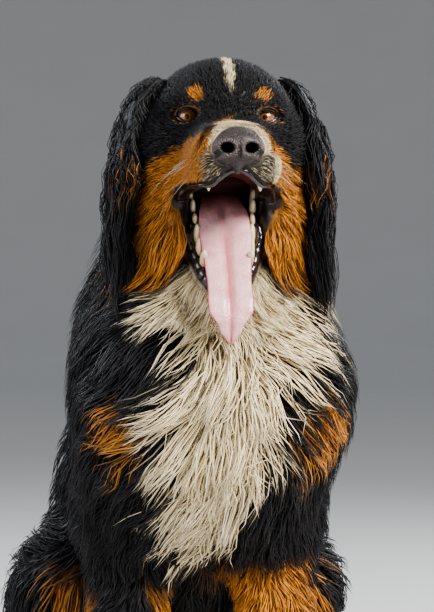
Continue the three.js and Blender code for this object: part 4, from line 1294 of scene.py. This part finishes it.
FOOT_HEIGHT, LEG_HEIGHT, LEG_FRONT, LEG_SIDE = 105, 372, -343, 30


def on_foreleg(p):
    return (p[:, 1] < LEG_FRONT) & (p[:, 2] < LEG_HEIGHT) & (np.abs(p[:, 0]) > LEG_SIDE)


def tuft_sizes(p):
    depth = np.maximum(dog(p) - dog(p, 1), 1)
    h = in_head(p)
    long = np.clip(2.6 * depth, SHORTEST, LONGEST)
    on_face = smooth(h[:, 2], -60, -30) * fade(h[:, 1], 20, 60)
    long = long * (1 - 0.45 * on_face)
    long = long * (0.3 + 0.7 * smooth(from_eye(h) + 0.05 * np.maximum(h[:, 1], 0), 1.0, 2.2))
    lips_away = near_lips(p)
    long = np.minimum(long, np.where(h[:, 2] > -88, 2 + 0.7 * lips_away, 4 + 1.6 * lips_away))
    feather = smooth(outward(p)[:, 1], 0.1, 0.6)
    long = np.where(on_foreleg(p) & (p[:, 2] > FOOT_HEIGHT), 30 + 45 * feather, long)
    return long, 0.7 + 0.019 * long, h


print("skin area:", round(float(areas.sum()) / 1e6, 2), "m2")

# %% [markdown]
# The pieces of the coat follow the dog's own regions. Short hair takes a simple tuft of two rings, and long
# hair one of four, so that it can bend.

# %% Count the tufts
REGIONS = ["face", "crown", "cheeks", "bib", "neck", "flanks", "back", "legs", "feet", "tail"]
COVER = {"face": 3.7, "crown": 4.6, "cheeks": 9.0, "bib": 11.0, "neck": 8.0, "flanks": 8.0, "back": 5.2,
         "legs": 4.2, "feet": 1.6, "tail": 6.0}
WIDEN = {"bib": 0.8, "neck": 0.9, "flanks": 1.2, "back": 1.45, "legs": 1.3, "feet": 1.5, "tail": 1.4}
SHORT_RINGS = np.array([0, 0.5, 1.0])
LONG_RINGS = np.array([0, 0.22, 0.48, 0.76, 1.0])
SHORT_HAIRED = ("face", "crown", "feet")


def region_of(p, h):
    x, y, z = p.T
    on_head_coat = (h[:, 1] < 118) & (h[:, 2] > -172)
    numbers = np.full(len(p), REGIONS.index("flanks"))
    for name, where in (
        ("back", (y > -330) & (z > 0)),
        ("legs", on_foreleg(p)),
        ("bib", (y < -455) & (z >= LEG_HEIGHT) & (z < 640)),
        ("neck", (z >= 640) | ((z > 560) & (y < -300) & (y >= -455))),
        ("tail", (y > 60) & (z < 170)),
        ("feet", (z < FOOT_HEIGHT) & (y < 60)),
        ("cheeks", on_head_coat),
        ("crown", on_head_coat & (h[:, 2] > -45)),
        ("face", on_head_coat & (h[:, 1] < 24) & (h[:, 2] > -110)),
    ):
        numbers[where] = REGIONS.index(name)
    return numbers


long, wide, heads = tuft_sizes(centres)
regions = region_of(centres, heads)
cover = np.array([COVER[name] / WIDEN.get(name, 1) for name in REGIONS])[regions]
wanted = areas * cover / (long * wide) * (~bare(centres))
thin_out = 1.0
print({name: int(wanted[regions == i].sum()) for i, name in enumerate(REGIONS)})

# %% [markdown]
# ## Growing the tufts
# A tuft starts just under the skin, rises through the coat and then follows the lie, held at its own height
# between skin and tips. Tufts are drawn together in clumps towards their tips, as damp or brushed hair is.
# Each ring of a tuft is a flat triangle, and the tuft ends in a point.

# %% Follow the coat
def follow(roots, long, rise, rings, swing):
    places = roots.copy()
    done = [roots - outward(roots) * 2.0]
    for start, end in zip(rings, rings[1:]):
        normal = outward(places)
        flow = lie(places, normal)
        angle = swing * (0.6 + end)
        flow = flow * np.cos(angle)[:, None] + np.cross(normal, flow) * np.sin(angle)[:, None]
        places = places + flow * (long * (end - start))[:, None]
        for _ in range(2):
            normal = outward(places)
            distance = dog(places)
            target = (distance - dog(places, 1)) * rise * (1 - (1 - end) ** 1.7)
            hang = np.where(distance > target, 1 - 0.75 * smooth(-normal[:, 2], 0.1, 0.7), 1)
            places = places + normal * (np.clip(target - distance, -30, 30) * hang)[:, None]
        done.append(above_floor(places.copy()))
    return np.stack(done, 1)


CLUMP_REACH = 60


def clumped(paths, rings, size, strength, draw):
    leaders = draw.permutation(len(paths))[: max(4, int(len(paths) / size))]
    tree = kdtree.KDTree(len(leaders))
    for i, leader in enumerate(leaders):
        tree.insert(paths[leader, 1], i)
    tree.balance()
    nearest = leaders[[tree.find(p)[1] for p in paths[:, 1]]]
    pull = strength * draw.uniform(0.4, 1.0, len(paths))
    share = pull[:, None] * rings[None] ** 1.4
    gap = np.linalg.norm(paths[nearest] - paths, axis=2)
    share = share * (gap < CLUMP_REACH)
    return paths + (paths[nearest] - paths) * share[..., None]


path = follow(laid_on(test, dog), np.array([60.0]), np.array([0.8]), LONG_RINGS, np.zeros(1))
print("a test tuft of 60 mm ends", (path[0, -1] - path[0, 0]).round(), "mm from its root")

# %% [markdown]
# ## Giving the tufts a body
# A path becomes a closed tuft with three sides, widest a third of the way along. It could be a flat card,
# but a card vanishes when it is seen from its edge. Every tuft is rolled a little, so that the light breaks
# up on them.

# %% Build the tufts
TUFT_PATCH = 0.003  # size of a tuft's own patch on the map


def tuft_mesh(name, paths, wide, rings, marks, uv, draw):
    count, stations = len(paths), len(rings)
    along = unit(np.gradient(paths, axis=1))
    normal = outward(paths[:, 1])[:, None]
    roll = draw.normal(0, 0.3, count)[:, None, None]
    across = unit(np.cross(along, np.broadcast_to(normal, along.shape)))
    out = np.cross(across, along)
    across, out = across * np.cos(roll) + out * np.sin(roll), out * np.cos(roll) - across * np.sin(roll)
    swell = np.interp(rings, (0, 0.3, 0.75, 1), (0.7, 1.0, 0.62, 0))[:-1]
    half = (wide[:, None] * swell)[..., None] / 2
    body, across, out = paths[:, :-1], across[:, :-1] * half, out[:, :-1] * half * 0.45
    ring = np.stack([body - across, body + out, body + across], 2)
    points = np.concatenate([ring.reshape(count, -1, 3), paths[:, -1:]], 1)
    per = points.shape[1]
    faces = [(0, 2, 1)]
    for s in range(stations - 2):
        a = 3 * s
        for k in range(3):
            n = (k + 1) % 3
            faces += [(a + k, a + n, a + 3 + n), (a + k, a + 3 + n, a + 3 + k)]
    last = 3 * (stations - 2)
    faces += [(last + k, last + (k + 1) % 3, per - 1) for k in range(3)]
    faces = (np.array(faces)[None] + (np.arange(count) * per)[:, None, None]).reshape(-1, 3)
    at = np.append(np.repeat(rings[:-1], 3), 1.0)
    # Painted shade and sheen: each tuft's random tone is darkened towards its root, where the coat shades
    # itself, and lightened towards its tip.
    shade = np.clip(marks["shade"][:, None] * (0.35 + 0.85 * at[None]), 0, 1)
    spread = {key: np.repeat(values, per) for key, values in marks.items() if key != "shade"}
    points = above_floor(points.reshape(-1, 3))
    mesh = mesh_from(name, points, faces, **spread, shade=shade.ravel())
    turns = np.array([(0, 0), (0.5, 1), (1, 0)])
    local = np.concatenate([np.stack([turns[:, 0], np.full(3, t)], 1) for t in rings[:-1]] + [[(0.5, 1)]])
    map_onto(mesh, (uv[:, None] + (local[None] - 0.5) * TUFT_PATCH).reshape(-1, 2))
    return mesh


def tuft_marks(roots, draw):
    marks = markings(roots + draw.normal(0, 1.2, roots.shape).astype(np.float32))
    grey = marks.pop("grey")
    whitened = np.where(draw.random(len(roots)) < 0.55, 0.06, 0.5)
    marks["white"] = marks["white"] * (1 - grey) + whitened * grey
    marks["rust"] = marks["rust"] * (1 - grey)
    return {**marks, "shade": draw.beta(2.2, 2.2, len(roots))}


def triangles_of(rings):
    return 6 * (len(rings) - 2) + 4


print("triangles of a tuft:", triangles_of(SHORT_RINGS), "or", triangles_of(LONG_RINGS))

# %% [markdown]
# ## The coat, region by region
# Each region is grown on its own, with its own seed, and cut into pieces of under 200,000 triangles.

# %% Grow the coat
COAT_SEED, EAR_SEED, WHISKER_SEED = 100, 300, 40  # where the random draws start
CLUMPS = {"face": (7, 0.35), "crown": (9, 0.45), "cheeks": (16, 0.7), "bib": (24, 0.82), "neck": (22, 0.8),
          "flanks": (20, 0.8), "back": (18, 0.75), "legs": (13, 0.65), "feet": (8, 0.4), "tail": (16, 0.7)}
MOST_TRIANGLES = 190_000
coat_total = 0
for index, region in enumerate(REGIONS):
    draw = np.random.default_rng(COAT_SEED + index)
    weight = np.where(regions == index, wanted, 0)
    count = int(weight.sum() * thin_out)
    chosen = draw.choice(len(weight), count, p=weight / weight.sum())
    mix = draw.random((count, 2))
    mix = np.where(mix.sum(1, keepdims=True) > 1, 1 - mix, mix)
    shares = np.concatenate([1 - mix.sum(1, keepdims=True), mix], 1)[..., None]
    roots = (corners[chosen] * shares).sum(1).astype(np.float32)
    uv = (corner_uv[chosen] * shares).sum(1)
    long, wide, _ = tuft_sizes(roots)
    rings = SHORT_RINGS if region in SHORT_HAIRED else LONG_RINGS
    long = long * draw.uniform(0.7, 1.25, count)
    rise = draw.uniform(0.35, 1.0, count)
    swing = draw.normal(0, 0.09, count)
    paths = follow(roots, long, rise, rings, swing)
    size, strength = CLUMPS[region]
    paths = clumped(paths, rings, size, strength, draw)
    curl = draw.normal(0, 1, (count, 3))[:, None] * (long[:, None, None] * 0.018)
    paths = paths + curl * np.sin(rings * 4.5)[None, :, None]
    marks = tuft_marks(roots, draw)
    parts = math.ceil(count * triangles_of(rings) / MOST_TRIANGLES)
    order = np.argsort(roots[:, 0])
    for part, members in enumerate(np.array_split(order, parts)):
        name = f"coat_{region}" + (f"_{part + 1}" if parts > 1 else "")
        some = {key: values[members] for key, values in marks.items()}
        widths = wide[members] * WIDEN.get(region, 1)
        mesh = tuft_mesh(name, paths[members], widths, rings, some, uv[members], draw)
        piece(name, mesh, fur)
        coat_total += len(mesh.polygons)
    print(region, count, "tufts")
print("triangles of the coat:", coat_total)

# %% [markdown]
# ## The hair of the ears
# The ears carry long, wavy black hair that hangs well below their tips. It roots all over the flap and
# falls straight down, a little outwards, in loose waves.

# %% Grow the ears' hair
EAR_TUFTS, EAR_TUFT_WIDTH = 4300, 2.3
sideways, forward = (np.array(head_frame.to_3x3() @ Vector(way)) for way in ((1, 0, 0), (0, -1, 0)))
falling = np.array([0, 0, -1.0])
t = LONG_RINGS[None, :, None]
for side, flap in ear_flaps.items():
    draw = np.random.default_rng(EAR_SEED + side)
    count = int(EAR_TUFTS * thin_out)
    ring = draw.integers(0, EAR_RINGS - 1, count)
    turn = draw.integers(0, EAR_AROUND, count)
    pick = ring * EAR_AROUND + turn
    roots = flap["points"][pick] + draw.normal(0, 1.5, (count, 3))
    long = (34 + 52 * smooth(ring / EAR_RINGS, 0.1, 0.8)) * draw.uniform(0.7, 1.25, count)
    long = (long * (1 - 0.6 * flap["rust"][pick]))[:, None, None]
    wave = (0.5 * ripple(roots, 60, 31))[:, None, None]
    lift = draw.uniform(-15, 9, count)[:, None, None]
    early = unit(flap["course"][pick] + [0, 0, -0.35])[:, None]
    direction = early * (1 - t) + falling * t
    outside = lift * np.sin(2.4 * t) + 3.5 * np.sin(6.5 * t + 6 * wave)
    ahead = long * 0.2 * wave * t * 1.6 + draw.normal(0, 5, count)[:, None, None] * t
    paths = roots[:, None] + direction * long * t + side * sideways * outside + forward * ahead
    paths = clumped(paths, LONG_RINGS, 13, 0.75, draw)
    rust = flap["rust"][pick] * (draw.random(count) < 0.4)
    marks = {"white": np.zeros(count), "rust": rust, "shade": draw.beta(2.2, 2.2, count)}
    name = "coat_ear_left" if side > 0 else "coat_ear_right"
    widths = np.full(count, EAR_TUFT_WIDTH)
    mesh = tuft_mesh(name, paths.astype(np.float32), widths, LONG_RINGS, marks, flap["uv"][pick], draw)
    piece(name, mesh, fur)
print("ears' hair done")

# %% [markdown]
# ## Whiskers
# A few long, stiff hairs stand out from the upper lips. They are thin tapered lofts that bend back.

# %% Make the whiskers
WHISKER_RINGS = 7
whisker_finish = Finish("whisker", 0.35)
whisker_finish.paint(
    whisker_finish.mixed(whisker_finish.noise(60.0), (0.05, 0.04, 0.035), (0.75, 0.70, 0.62))
)
draw = np.random.default_rng(WHISKER_SEED)
taper = np.linspace(0.32, 0.08, WHISKER_RINGS)
t = np.linspace(0, 1, WHISKER_RINGS)[:, None]
whiskers = []
for side in (1, -1):
    for i in range(8):
        beside, ahead = 38 + 2 * draw.random(), -66 + 8 * (i % 3) + 5 * draw.random()
        root = np.array([side * beside, ahead, -46 - 8 * (i // 3)])
        reach = 24 + 34 * draw.random()
        aim = np.array([side * draw.uniform(0.55, 0.9), 0.3, draw.uniform(-0.6, 0.1)])
        line = root + t * reach * aim + t * t * np.array([side * 4, 14, -22 * draw.random()])
        whiskers.append(loft(line, taper, taper, (0, 0, 1), 5))
points, faces = many(whiskers)
piece("whiskers", from_faces("whiskers", through(head_frame, points), faces), whisker_finish)
print("whiskers:", len(whiskers))

# %% [markdown]
# ## The studio
# The dog sits on a plain pale floor. The floor is a very wide bowl, so that it meets the background without
# a line from any side. Large soft lights stand in front of the dog and behind it, two on each side.

# %% Build the studio
FLOOR_TURNS = 96
FLOOR_RINGS = [  # radius and height
    (0.01, 0), (2, 0), (6, 0), (12, 0), (15, 0.3), (17.5, 1.4), (19.5, 3.6), (20.5, 6.5), (21, 10)
]
pale = Finish("pale_floor", 0.8)
pale.paint(pale.mixed(pale.noise(2.0), (0.60, 0.59, 0.575), (0.63, 0.62, 0.605)))
turns = np.linspace(0, 2 * np.pi, FLOOR_TURNS, endpoint=False)
points = [(r * np.cos(a), r * np.sin(a), z) for r, z in FLOOR_RINGS for a in turns]
faces = [tuple(range(FLOOR_TURNS))]
for start in range(0, len(points) - FLOOR_TURNS, FLOOR_TURNS):
    for k in range(FLOOR_TURNS):
        a, b = start + k, start + (k + 1) % FLOOR_TURNS
        faces.append((a + FLOOR_TURNS, b + FLOOR_TURNS, b, a))
floor = placed("floor", from_faces("floor", np.array(points) / MM, faces))
floor.data.materials.append(pale.material)

world = bpy.data.worlds.new("studio")
bpy.context.scene.world = world
world.use_nodes = True
world.node_tree.nodes["Background"].inputs["Color"].default_value = (0.80, 0.85, 0.92, 1)
world.node_tree.nodes["Background"].inputs["Strength"].default_value = 0.45


MIDDLE = (0, -0.35, 0.5)  # what the lights are turned to


def soft_light(name, place, size, power, tint):
    light = placed(name, bpy.data.lights.new(name, "AREA"))
    light.data.size = size
    light.data.energy = power
    light.data.color = tint
    light.location = place
    light.rotation_mode = "QUATERNION"
    light.rotation_quaternion = (Vector(MIDDLE) - Vector(place)).to_track_quat("-Z", "Y")
    light.visible_camera = False


bpy.context.scene.view_settings.look = "AgX - Medium High Contrast"
soft_light("key", (1.6, -2.6, 2.3), 1.1, 240, (1, 0.97, 0.92))
soft_light("fill", (-2.4, -2.0, 1.3), 1.8, 50, (0.93, 0.96, 1))
soft_light("rim_left", (-1.9, 1.6, 1.9), 1.2, 45, (0.88, 0.93, 1))
soft_light("rim_right", (2.1, 1.3, 1.9), 1.2, 45, (0.88, 0.93, 1))

# %% [markdown]
# The dressed dog has to stay close to the box of the solids.
